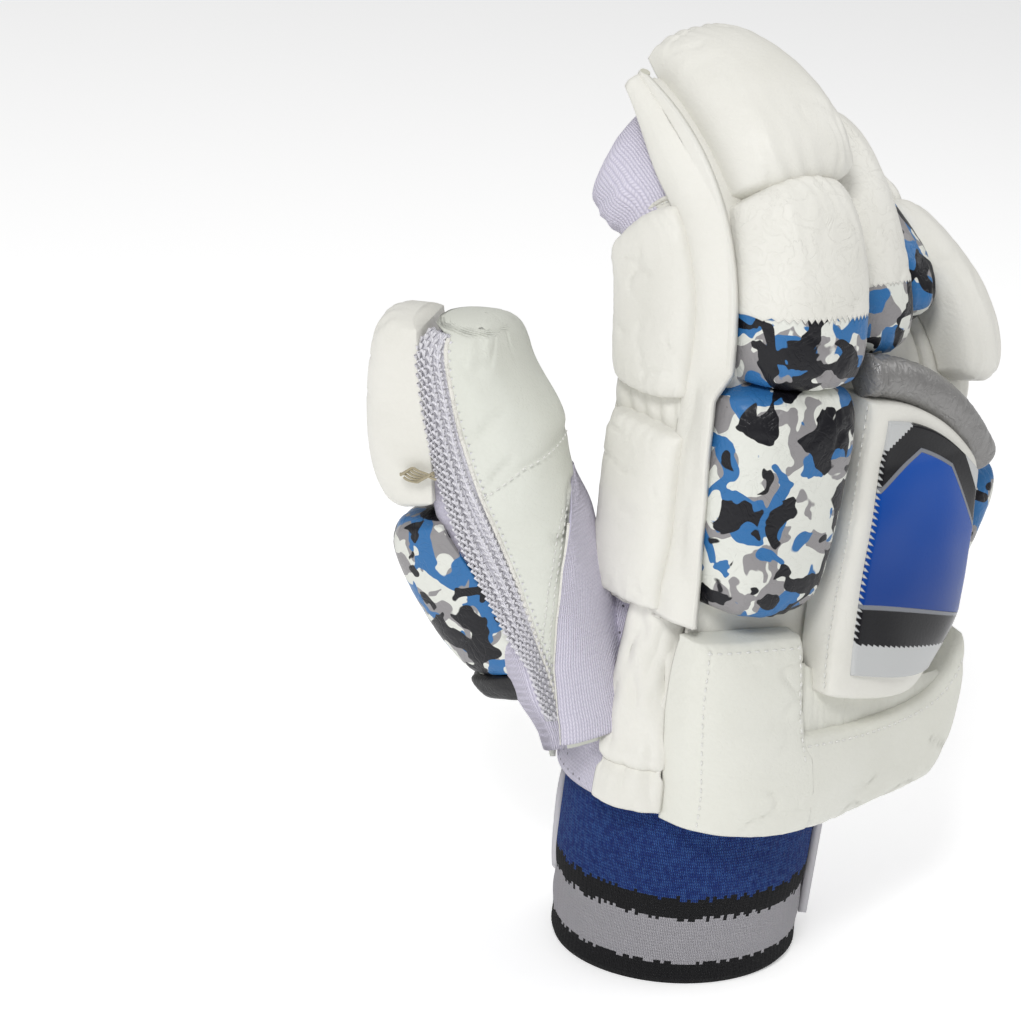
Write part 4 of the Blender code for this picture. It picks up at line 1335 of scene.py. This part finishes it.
# %% Finger rolls
mixed_leather = printed_leather("white_over_print", white_above=-1.5)
low_print_leather = printed_leather("white_over_low_print", white_above=-11.0)
ROLLS = [
    # name, ends along its finger, and at both ends: widths, thicknesses and shifts; leather
    ("index_base_roll", (-46.5, 25.5), (39.5, 50.5), (20.0, 21.5), (-3.0, 2.5), camo_leather),
    ("index_mid_roll", (23.5, 65.8), (38.5, 38.0), (22.0, 23.0), (4.6, 4.6), mixed_leather),
    ("index_tip_roll", (63.2, 109.5), (45.0, 34.0), (21.5, 7.0), (10.0, 10.0), white_leather),
    ("middle_mid_roll", (17.0, 72.5), (31.0, 30.0), (20.0, 26.0), (11.0, 11.0), low_print_leather),
    ("middle_tip_roll", (69.5, 106.5), (30.0, 24.0), (25.0, 10.0), (9.5, 8.0), white_leather),
    ("ring_mid_roll", (16.5, 62.0), (28.5, 28.0), (21.0, 19.5), (5.0, 5.0), camo_leather),
    ("ring_tip_roll", (59.5, 97.5), (27.0, 22.0), (15.5, 7.0), (3.5, 3.5), camo_leather),
    ("little_mid_roll", (7.5, 46.0), (26.5, 25.0), (16.5, 15.5), (5.0, 5.0), white_leather),
    ("little_tip_roll", (43.5, 88.0), (24.5, 20.0), (15.0, 9.0), (5.0, 5.0), white_leather),
]


def over_back(finger, ends, widths, shifts):
    """The plan of a roll that lies over the back of a finger."""
    def at(a, b, lift):
        share = to_share(b)
        along = blend(*ends, share)
        across = blend(*shifts, share) + a * blend(*widths, share) / 2.0
        tuck = 2.2 * abs(a) ** 6
        return finger.at(along, across, finger.back_height(along, across) + 0.9 - tuck + lift)

    return at


for number, (name, ends, widths, thick, shifts, skin_material) in enumerate(ROLLS):
    on = name.split("_")[0]
    roll = Pad(over_back(fingers[on], ends, widths, shifts),
               (sum(widths) / 4.0, (ends[1] - ends[0]) / 2.0), thick, shoulders=(3.0, 4.2),
               corner=0.42, gathers=0.55, ridge=0.035, seed=number + 1.0)
    columns = 52 if on == "index" else 34
    finish_piece(roll.build(name + "_leather", columns, 60, skin_material), (name,))
print(len(ROLLS), "rolls")

# %% Roll on the little-finger side of the knuckles
def outer_at(a, b, lift):
    height = blend(126.0, 164.0, to_share(b))
    return hand_point(height, blend(44.0, 19.0, to_share(a)), 8.0 + lift)


outer_roll = Pad(outer_at, (14.5, 19.0), (13.0, 13.5), shoulders=(2.4, 3.2), corner=0.5,
                 gathers=0.5, seed=21.0)
finish_piece(outer_roll.build("little_base_roll_leather", 36, 44, camo_leather),
             ("little_base_roll",))

# %% [markdown]
# ## Cover of the back
#
# Under all pads one leather-covered layer of foam spans the back of the hand.
# Little of it shows between the pads, but it closes every gap, so it is a
# sheet over the same rounded-to-flat section as the solid below it.

# %% Back cover
def cover_point(share_round, share_up):
    height = blend(63.0, 178.5, share_up)
    below = hand_point(height, blend(33.0, 156.0, share_round), GAP + 0.3)
    outside = min(back_y(below.x, height), below.y - 1.2)
    return Vector((below.x, outside, height))


cover = sheet_grid("back_cover", 90, 60, cover_point, white_leather, 3.0, (130.0, 115.0))
finish_piece(cover, ("hand_back",))

# %% [markdown]
# ## The index-finger side
#
# The side of the glove that meets the ball first: a smooth leather wall beside
# the rolls, two flat sewn pads with a raw, stitched edge, and a strip that
# runs on to the cuff, where it is puckered. The wall turns in under the rolls.

# %% Side wall and side pads
SIDE = [(-112.0, 28.0), (-80.0, 27.3), (-56.0, 23.8), (-28.0, 18.8), (0.0, 17.4), (14.0, 16.0),
        (104.0, 14.2)]
index = fingers["index"]


def side_point(along, out, lift):
    return index.at(along, -from_table(SIDE, along) - lift, out)


ROLL_EDGE = [(-60.0, 22.3), (21.0, 22.3), (29.0, 14.4), (62.0, 14.2), (72.0, 12.4), (90.0, 9.0),
             (99.0, 5.0)]
WALL_OUT = (13.0, 31.0)


def side_wall(share_out, share_along, above=0.0):
    """From the side pads' edge to the left edge of the rolls."""
    along = blend(-50.0, 98.5, share_along)
    turn = smooth_step((share_out - 0.35) / 0.65)
    to_roll = from_table(ROLL_EDGE, along) + 0.6 - from_table(SIDE, along)
    crown = 1.4 * math.sin(math.pi * share_out)
    crease = 0.8 * ripple(share_out * 3.0, along / 22.0, 4.0)
    end = min(share_along * 20.0, 1.0)
    lift = blend(2.4, to_roll, turn) + (crown + crease) * end + above
    start_out = blend(WALL_OUT[0], WALL_OUT[1] - 2.0, smooth_step((along - 74.0) / 36.0))
    return side_point(along, blend(start_out, WALL_OUT[1], share_out), max(lift, GAP))


wall = sheet_grid("index_side_wall", 26, 120, side_wall, white_leather, 2.0, (24.0, 160.0))
finish_piece(wall, ("side_strip",))


def side_pad(name, start_at, stop_at, low, high, corner, node, seed):
    def at(a, b, lift):
        along = blend(start_at, stop_at, to_share(b))
        out = blend(low, high, to_share(a))
        return side_point(along, out, 1.4 + lift)

    pad = Pad(at, ((high - low) / 2.0, (stop_at - start_at) / 2.0), (8.6, 8.6),
              shoulders=(4.0, 5.5), corner=corner, flange=2.6, gathers=0.25, seed=seed)
    made = pad.build(name, 44, 64, white_leather)
    finish_piece(made, (node,))
    return pad


lower_pad = side_pad("side_pad_low", -52.0, 10.0, -18.0, 17.5, 0.12, "side_pad_lower", 31.0)
upper_pad = side_pad("side_pad_high", 12.5, 73.5, -20.5, 17.5, 0.40, "side_pad_upper", 33.0)
sew("side_pad_stitches", lower_pad.border(1.3, 0.1, ("left", "low")) +
    upper_pad.border(1.3, 0.1, ("left", "low", "high")),
    pitch=2.4, length=1.8, thickness=0.7)


def frayed(pad, name, sides):
    """The cut leather edge: a thin uneven lip along the pad's flange."""
    lines = [[point + Vector((0.0, 0.0, 0.35 * noise.noise(point / 2.0))) for point in line]
             for line in pad.border(0.3, 0.0, sides, 90)]
    tube(name, lines, 0.75, raw_edge)


frayed(lower_pad, "side_pad_low_edge", ("left", "low"))
frayed(upper_pad, "side_pad_high_edge", ("left", "low", "high"))

# %% Notch between the side pads, and the strip to the cuff
def notch_point(share_out, share_along):
    along = blend(4.0, 20.0, share_along)
    out = blend(-17.0, 14.0, share_out)
    pucker = 0.8 * math.sin(out * 0.9 + 4.0 * share_along)
    return side_point(along, out, 1.4 + 1.8 * math.sin(math.pi * share_along) + pucker * 0.5)


finish_piece(sheet_grid("side_notch", 50, 20, notch_point, white_leather, 1.2, (31.0, 16.0)))


def cuff_strip(share_round, share_up, above=0.0):
    height = blend(64.0, 132.0, share_up)
    angle = blend(170.0, 143.0, share_round)
    crown = 2.2 * math.sin(math.pi * share_round) ** 0.6
    pucker = hump(height, 81.0, 2.5) - 1.7 * hump(height, 77.0, 2.2)
    wave = 1.5 * ripple(angle / 5.0, height / 9.0, 8.0)
    return hand_point(height, angle, 2.0 + crown + (pucker + wave) * min(crown, 1.0) + above)


finish_piece(sheet_grid("cuff_side_strip", 34, 90, cuff_strip, white_leather, 1.8, (17.0, 68.0)),
             ("wrist_side_strip",))
sew("cuff_strip_stitches",
    [[cuff_strip(share, blend(0.03, 0.97, s), 0.1) for s in shares(60)]
     for share in (0.14, 0.86)]
    + [[cuff_strip(blend(0.1, 0.9, s), place, 0.1) for s in shares(24)]
       for place in (0.15, 0.23)],
    pitch=2.6, length=1.9, thickness=0.6)

# %% Piping round the index finger's gusset
gusset_line = [side_wall(0.0, blend(0.70, 0.995, s), -0.6) for s in shares(40)]
gusset_end = [side_wall(s, 0.995, -0.4) for s in shares(12)]
tube("gusset_piping", [gusset_line + gusset_end[1:]], 1.7, gusset_piping)
print("side: wall, two pads, notch and cuff strip")

# %% [markdown]
# ## Back plate, badge and piping
#
# A stiff padded plate stands proud over the back of the hand, and a moulded
# panel is sewn on it. The panel keeps its blue field, outline, saw-toothed
# black surround, band and pale foot, but bears no lettering. Its shapes are
# masks over the panel's own Place map, so they need no picture.

# %% Plate
def arch_z(x):
    return 209.0 - 0.0075 * (x - 8.0) ** 2


PLATE_LOW = (104.5, 93.0)    # the lower edge falls towards the little finger


def plate_at(a, b, lift):
    x = blend(blend(1.5, 13.0, smooth_step((b + 1.0) / 1.7)), 70.3, to_share(a))
    height = blend(blend(*PLATE_LOW, to_share(a)), arch_z(x) - 9.0, to_share(b))
    return Vector((x, back_y(x, height) - 2.4 - lift, height))


PLATE_TOP = 15.0
plate = Pad(plate_at, (29.0, 50.0), (PLATE_TOP, PLATE_TOP), shoulders=(10.0, 12.0), corner=0.06,
            gathers=0.0, seed=41.0)
finish_piece(plate.build("back_plate_leather", 56, 70, white_leather),
             ("back_plate",))
sew("back_plate_stitches", [[plate_at(-0.9995, blend(-0.9, 0.93, s), 11.0) for s in shares(80)]],
    pitch=3.0, length=2.2, thickness=0.6)


# %% Badge finish
def box_distance(wires, x, y, low_x, high_x, low_y, high_y, corner):
    """Millimetres outside a rectangle with its upper corners cut; below zero inside it."""
    over = wires.math("ABSOLUTE", wires.minus(x, (low_x + high_x) / 2.0))
    over = wires.minus(over, (high_x - low_x) / 2.0)
    above = wires.minus(y, high_y)
    below = wires.minus(low_y, y)
    square = wires.math("MAXIMUM", over, wires.math("MAXIMUM", above, below))
    slope = wires.times(wires.plus(wires.plus(over, above), corner), 0.71)
    return wires.math("MAXIMUM", square, slope)


FIELD_LOW = -19.0    # the blue field's lower edge, above the black band
FIELD_HIGH = 34.0
BADGE_GLOSS = 0.2
BADGE_BLACK = (0.006, 0.006, 0.008, 1.0)
BADGE_FOOT = (0.52, 0.53, 0.53, 1.0)
BADGE_OUTLINE = (0.20, 0.21, 0.235, 1.0)
BADGE_BLUES = ((0.001, 0.040, 0.24, 1.0), (0.001, 0.070, 0.38, 1.0))
badge_material, wires, shader = new_material("badge", 0.30, coat=0.06)
set_values(shader, {"Specular IOR Level": BADGE_GLOSS})
x, y = sewn_place(wires)
field = box_distance(wires, x, y, -30.0, 30.0, FIELD_LOW, FIELD_HIGH, 22.0)
inside = wires.ramp(field, 0.15, -0.15)
line = wires.ramp(field, 1.65, 1.35)
tooth = wires.math("PINGPONG", wires.plus(y, x), 1.1)
outer = box_distance(wires, x, y, -24.0, 25.0, FIELD_LOW - 13.0, 43.3, 11.0)
surround = wires.ramp(wires.plus(outer, wires.times(tooth, 0.7)), 0.7, 0.4)
blue = wires.mix(wires.ramp(y, FIELD_LOW, FIELD_HIGH), *BADGE_BLUES)
in_panel = wires.times(surround, inside)
colour = wires.mix(surround, BADGE_FOOT, BADGE_BLACK)
colour = wires.mix(wires.times(line, surround), colour, BADGE_OUTLINE)
colour = wires.mix(in_panel, colour, blue)
wires.feed(shader.inputs["Base Color"], colour)
wires.feed(shader.inputs["Roughness"], wires.ramp(surround, 0.0, 1.0, 0.42, 0.2))
rim = wires.minus(line, wires.times(inside, 0.55))
speck = wires.noise(object_place(wires), 900.0, 2.0)
bump(wires, shader, wires.plus(rim, wires.times(speck, 0.08)), 0.5)


# %% Badge
def badge_at(a, b, lift):
    return plate_at(0.83 * a + 0.02, 0.86 * b + 0.03, PLATE_TOP + 0.1 + lift)


badge = Pad(badge_at, (24.2, 43.0), (1.5, 1.5), shoulders=(14.0, 20.0), corner=0.10,
            gathers=0.0)
finish_piece(badge.build("badge", 48, 70, badge_material), ("badge_panel",))


# %% Silver piping roll
def piping_line(steps):
    points = []
    for number in range(steps + 1):
        x = blend(12.4, 80.6, number / steps)
        points.append(Vector((x, back_y(x, arch_z(x)) - 9.5, arch_z(x) - 3.0)))
    return points


def piping_point(share_round, share_along):
    line_at = share_along * (len(piping_path) - 1)
    first = min(int(line_at), len(piping_path) - 2)
    centre = piping_path[first].lerp(piping_path[first + 1], line_at - first)
    heading = (piping_path[first + 1] - piping_path[first]).normalized()
    outward = Vector((0.0, -1.0, 0.0))
    upward = heading.cross(outward).normalized()
    angle = 2.0 * math.pi * share_round
    end = min(share_along, 1.0 - share_along) * 75.0
    close = math.sqrt(max(1.0 - max(1.0 - end / 3.0, 0.0) ** 2, 0.0))
    crush = math.exp(-(share_along * 75.0 - 4.0) ** 2 / 60.0)
    crinkle = ripple(share_along * 50.0, math.cos(angle) * 2.5, math.sin(angle) * 2.5)
    radius = (6.7 + crinkle * (0.15 + 0.9 * crush)) * close
    return centre + outward * (radius * math.sin(angle)) + upward * (radius * math.cos(angle))


piping_path = piping_line(60)
roll = sheet_grid("silver_roll", 32, 130, piping_point, silver_material, 0.0, (38.0, 76.0),
                  closed=True)
finish_piece(roll, ("knuckle_piping",))
print("plate, badge and silver roll")

# %% [markdown]
# ## Wrist guard
#
# An L of thick foam under cream leather closes the cuff: a block over the
# wrist bone and a band that runs out past the plate. Its edges are sewn
# through, so a line of stitches runs inside each edge. The stretch between
# the band and the plate is thin, sunk and puckered, so that the cuff bends.

# %% Guard
GUARD_X = (-40.0, -3.0, 76.0)
GUARD_Z = (61.0, 84.0, 125.0)
GUARD_TOP = 11.0
GUARD_LEAVES = 18.0


def guard_y(x, height):
    """Under side of the guard: on the back, and straight on past GUARD_LEAVES."""
    seat = back_y(x, height)
    if x > GUARD_LEAVES:
        seat = min(seat, back_y(GUARD_LEAVES, height) + 0.16 * (x - GUARD_LEAVES))
    return seat - 2.1


def block_at(a, b, lift):
    x = blend(GUARD_X[0], GUARD_X[1], to_share(a))
    height = blend(GUARD_Z[0], GUARD_Z[2], to_share(b))
    return Vector((x, guard_y(x, height) - lift, height))


def band_top(x):
    """Upper edge of the guard's band: level, then up at its far end."""
    share = min(max((x - GUARD_X[1]) / (GUARD_X[2] - GUARD_X[1]), 0.0), 1.05)
    return 93.0 - 4.5 * share + 15.0 * share ** 6


def wing_at(a, b, lift):
    share = to_share(a)
    x = blend(GUARD_X[1] - 9.0, GUARD_X[2] - 13.0 + 18.0 * to_share(b), share)
    height = blend(GUARD_Z[0], band_top(x), to_share(b))
    return Vector((x, guard_y(x, height) - lift, height))


class Joined(Pad):
    """The block of the guard, whose lift doesn't fall where the band runs on from it."""

    def lift(self, a, b):
        lift = super().lift(a, b)
        join = smooth_step((a - 0.2) / 0.3) * smooth_step((-0.02 - b) / 0.20)
        return blend(lift, max(lift, Pad.lift(self, 0.3, max(b, -1.0))), join)


block = Joined(block_at, (18.5, 32.0), (GUARD_TOP, GUARD_TOP - 1.0), shoulders=(6.0, 9.0),
               corner=0.10, gathers=0.15, seed=51.0)
finish_piece(block.build("wrist_guard_block", 44, 70, guard_leather),
             ("wrist_guard",))
wing = Pad(wing_at, (44.0, 14.0), (GUARD_TOP - 0.2, GUARD_TOP - 0.4), shoulders=(14.0, 5.0),
           corner=0.05, gathers=0.1, seed=53.0)
finish_piece(wing.build("wrist_guard_band", 84, 34, guard_leather))
sew("wrist_guard_stitches",
    [block.border(3.2, 0.05, ("high",), 60)[0], block.border(3.2, 0.05, ("left",), 70)[0],
     [block.spot(0.84, blend(-0.2, 0.9, s), 0.05) for s in shares(50)]]
    + wing.border(2.6, 0.05, ("high",), 100), pitch=2.9, length=2.1,
    thickness=0.8)


# %% Sunk channel between the guard's band and the plate
def channel_point(share_across, share_up, above=0.0):
    x = blend(GUARD_X[1] + 1.0, GUARD_X[2] - 6.0, share_across)
    low = band_top(x) - 2.0
    to_plate = blend(*PLATE_LOW, clamped(x / 70.0)) + 2.0
    high = blend(114.0, to_plate, smooth_step((x + 2.0) / 10.0))
    height = blend(low, high, share_up)
    dip = math.sin(math.pi * share_up)
    rough = ripple(x / 2.2, height / 14.0, 3.0)
    pucker = 0.55 * rough * (0.35 + math.exp(-share_across * 4.0))
    lift = 3.2 + 0.9 * dip + pucker
    return Vector((x, guard_y(x, height) - lift - above, height))


finish_piece(sheet_grid("wrist_guard_channel", 130, 30, channel_point, guard_leather, 1.6,
                        (75.0, 26.0)), ("guard_channel",))
sew("channel_stitches",
    [[channel_point(blend(0.03, 0.95, s), place, 0.1) for s in shares(80)]
     for place in (0.12, 0.86)], pitch=2.4, length=1.8, thickness=0.55)
print("guard and channel")

# %% [markdown]
# ## Thumb
#
# The thumb is a tube of its own: cream leather round the inside, closed over
# the tip, a ribbed stretch strip down its back edge, and two pads on the
# outside. The strip's yarn is thick and shiny, so its loops are real ones,
# set out over the surface by the loop tree.

# %% Thumb's shape
def back_share(along):
    """How full the thumb's back is: it tapers into the hand at its base."""
    return blend(0.45, 1.0, smooth_step((along - 4.0) / 66.0))


def front_share(along):
    """How full its palm side is: the tip slopes off."""
    return blend(1.0, 0.45, smooth_step((along - 96.0) / 28.0))


def thumb_ring(along, angle, offset, taller=0.0):
    """Point round the thumb, with its tapering back and, for the leather, a fuller tip."""
    half_across, half_out = thumb.half_sizes(along)
    close = thumb.closing(along)
    across, back = oval(angle, THUMB_SQUARE)
    full = back_share(along) if back > 0.0 else front_share(along)
    point = thumb.at(along, (half_across + offset) * across * close,
                     (half_out + offset) * back * close * full)
    return point + thumb.heading(along) * (taller * smooth_step((along - 90.0) / 40.0))


# %% Thumb's knit
def thumb_knit(share_round, share_up):
    along = blend(-12.0, 129.0, math.sin(share_up * math.pi / 2.0) ** 0.85)
    loose = 0.5 * ripple(share_round * 9.0, along / 9.0, 3.0)
    drawn_in = 9.0 * (1.0 - smooth_step((along + 12.0) / 24.0))
    return thumb_ring(along, 360.0 * share_round, loose - 0.3 - drawn_in)


sleeve = sheet_grid("thumb_knit", 72, 60, thumb_knit, pale_knit, KNIT, (125.0, 141.0), closed=True,
                    tip=thumb.at(129.6, 0.0, 0.0))
hand_inside = ring_solid("hand_inside", 64, [row[0] for row in HAND],
                         lambda level, angle: hand_point(level, angle, 0.1))
cut_away(sleeve, [hand_inside])
finish_piece(sleeve, ("thumb_sleeve",))


# %% Thumb's leather
TALLER = 4.0    # what the leather's tip adds to the knit's
LEATHER_FROM = 203.0
LEATHER_TO = [(2.0, 342.0), (20.0, 342.0), (50.0, 346.0), (65.0, 350.0), (80.0, 355.0),
              (102.0, 361.0), (110.0, 364.0), (120.0, 369.0), (126.0, 376.0)]


def leather_edge(along):
    """Angle where the leather stops at the stretch strip: past the back near the tip."""
    over_tip = 187.0 * smooth_step((along - 126.0) / 3.0)
    return from_table(LEATHER_TO, along) + over_tip


def thumb_skin(share_round, share_up):
    along = blend(-8.0, 129.999, math.sin(share_up * math.pi / 2.0) ** 0.8)
    angle = blend(LEATHER_FROM, leather_edge(along), share_round)
    crease = 0.8 * ripple(angle / 34.0, along / 14.0, 6.0)
    fold = 0.7 * math.exp(-((along - 87.0 + 0.10 * (angle - 320.0)) / 2.6) ** 2)
    fold += creased(Vector((angle / 40.0, along / 24.0 + angle / 90.0, 2.0)), 1.1)
    edge = fade(share_round, 12.0)
    return thumb_ring(along, angle, OVER_KNIT + 0.6 + (crease - fold) * edge, TALLER)


skin = sheet_grid("thumb_leather", 110, 100, thumb_skin, thumb_leather, 1.8, (105.0, 137.0))
palm_solid = ring_solid("palm_solid", 64, [row[0] for row in HAND],
                        lambda level, angle: hand_point(level, angle, OVER_KNIT + 0.3))
cut_away(skin, [palm_solid])
finish_piece(skin, ("thumb_front",))


# %% Knit gusset between thumb and palm
GUSSET_EDGE = [(-8.0, 346.0), (5.0, 343.0), (20.0, 337.0), (35.0, 325.0), (50.0, 309.0),
               (65.0, 287.0), (80.0, 252.0)]


def gusset_point(share_round, share_up):
    along = blend(-6.0, 79.0, share_up)
    angle = blend(from_table(GUSSET_EDGE, along), 236.0, share_round)
    slack = 0.9 * ripple(angle / 30.0, along / 20.0, 1.0)
    inside = fade(share_round, 10.0)
    tucked = 2.2 * smooth_step((along - 62.0) / 17.0)
    return thumb_ring(along, angle, OVER_KNIT + 1.5 - tucked + (slack + 0.4) * inside, TALLER)


gusset = sheet_grid("thumb_gusset", 40, 70, gusset_point, pale_knit, 1.0, (38.0, 85.0))
finish_piece(gusset)
tube("thumb_gusset_edge", [[gusset_point(0.0, s) for s in shares(60)[:50]]], 0.6, raw_edge)


def skin_line(places):
    """A line on the thumb's leather through (angle, place along) pairs."""
    lift = OVER_KNIT + 0.8 + 0.15
    return [thumb_ring(blend(low[1], high[1], share), blend(low[0], high[0], share), lift, TALLER)
            for low, high in zip(places, places[1:]) for share in shares(40)]


sew("thumb_stitches",
    [skin_line([(353, 79), (320, 87), (258, 93)]),
     skin_line([(from_table(GUSSET_EDGE, along) + 5.0, along) for along in (14, 30, 45, 60, 68)]),
     skin_line([(from_table(GUSSET_EDGE, along) + 11.0, along) for along in (20, 30, 45, 60, 68)])],
    pitch=2.5, length=1.8, thickness=0.55)
edge_line = [thumb_ring(along, leather_edge(along) + 0.5, OVER_KNIT + 0.3, TALLER)
             for along in (blend(4.0, 125.0, s) for s in shares(100))]
tube("thumb_leather_edge", [edge_line], 0.8, raw_edge)


# %% Stretch strip of the thumb
STRIP_STEPS = 52
STRIP_COLUMNS = 6
PADS_FROM = [(2.0, 354.0), (20.0, 356.0), (35.0, 365.0), (50.0, 373.0), (65.0, 379.0),
             (80.0, 384.0), (95.0, 390.0), (110.0, 400.0), (127.0, 414.0)]


def strip_span(along):
    """The two angles of the stretch strip: from the leather to under the pads."""
    return leather_edge(min(along, 126.0)), from_table(PADS_FROM, along)


def strip_point(share_round, share_up, above=0.0):
    along = blend(2.0, 126.0, share_up)
    start_angle, stop_angle = strip_span(along)
    angle = blend(start_angle - 3.0, stop_angle, share_round)
    rib = 0.35 * math.cos((share_round * STRIP_COLUMNS + 0.5) * 2.0 * math.pi)
    bulge = 1.2 * math.sin(math.pi * share_round)
    return thumb_ring(along, angle, 2.0 + rib + bulge + above, TALLER)


strip = sheet_grid("thumb_stretch_strip", 40, 120, strip_point, strip_knit, 1.6, (16.0, 125.0))
finish_piece(strip)
points, facing, heading = [], [], []
for row in range(STRIP_STEPS):
    for column in range(STRIP_COLUMNS):
        across = (column + 0.5) / STRIP_COLUMNS
        up_share = (row + 0.5 + 0.5 * (column % 2)) / (STRIP_STEPS + 0.5)
        here = strip_point(across, up_share, 0.25)
        over = strip_point(across, min(up_share + 0.01, 1.0), 0.25)
        beside = strip_point(min(across + 0.02, 1.0), up_share, 0.25)
        points.append(put(here))
        facing.append((beside - here).cross(over - here).normalized())
        heading.append((over - here).normalized())
cloud = bpy.data.meshes.new("thumb_loops")
cloud.from_pydata(points, [], [])
for label, values in (("facing", facing), ("heading", heading)):
    attribute = cloud.attributes.new(label, "FLOAT_VECTOR", "POINT")
    attribute.data.foreach_set("vector", [part for value in values for part in value])
loops = grow("thumb_loops", add_object("thumb_loops", cloud), loop_tree,
             {"Size": 2.9 * MM, "Yarn": 0.55 * MM, "Material": silver_yarn})
finish_piece(loops)
print("strip with", len(points), "loops,", len(loops.data.polygons), "faces")


# %% Thumb pads
def pad_wrap(along):
    """How far a pad's near edge reaches down round the thumb's side."""
    return blend(17.0, 6.6, clamped((along - 15.0) / 110.0))


def thumb_pad(name, start_at, stop_at, low, high, thick, material, node, corner, seed):
    def at(a, b, lift):
        along = blend(start_at, stop_at, to_share(b))
        half = blend(low, high, to_share(b)) / 2.0
        seat = thumb.half_sizes(along)[1] * back_share(along) + 1.2
        if a > 0.0:
            wrap = pad_wrap(along) * a ** 5
            return thumb.at(along, half * a + 1.6 * a ** 3, seat - wrap + lift)
        return thumb.at(along, half * a, seat - 2.5 * a ** 4 + lift)

    pad = Pad(at, ((low + high) / 4.0, (stop_at - start_at) / 2.0), thick, shoulders=(2.6, 3.4),
              corner=corner, gathers=0.6, seed=seed)
    finish_piece(pad.build(name, 44, 66, material), (node,))


thumb_pad("thumb_tip_leather", 73.5, 133.0, 38.5, 32.0, (17.5, 15.0), white_leather,
          "thumb_tip_pad", 0.45, 61.0)
base_leather = printed_leather("thumb_print")
thumb_pad("thumb_base_leather", 15.0, 72.5, 36.0, 38.0, (15.0, 17.5), base_leather,
          "thumb_base_pad", 0.35, 63.0)
thumb_pad("thumb_base_end", 7.5, 17.0, 33.0, 36.0, (11.0, 13.0), black_edge,
          "thumb_base_pad", 0.3, 65.0)

# %% Loose thread knot between the thumb pads
strands = []
for number in range(5):
    shift = number - 2.0
    strands.append([thumb.at(87.0 + 0.6 * shift + 0.9 * math.sin(s * 0.5 + number),
                             22.6 - 0.12 * s + 0.5 * math.sin(s * 1.1 + 2.0 * number),
                             thumb.half_sizes(87.0)[1] - 9.5 + s * 0.8 + 0.3 * shift)
                    for s in range(15)])
tube("thumb_thread", strands, 0.42, loose_thread)
print("thumb done")
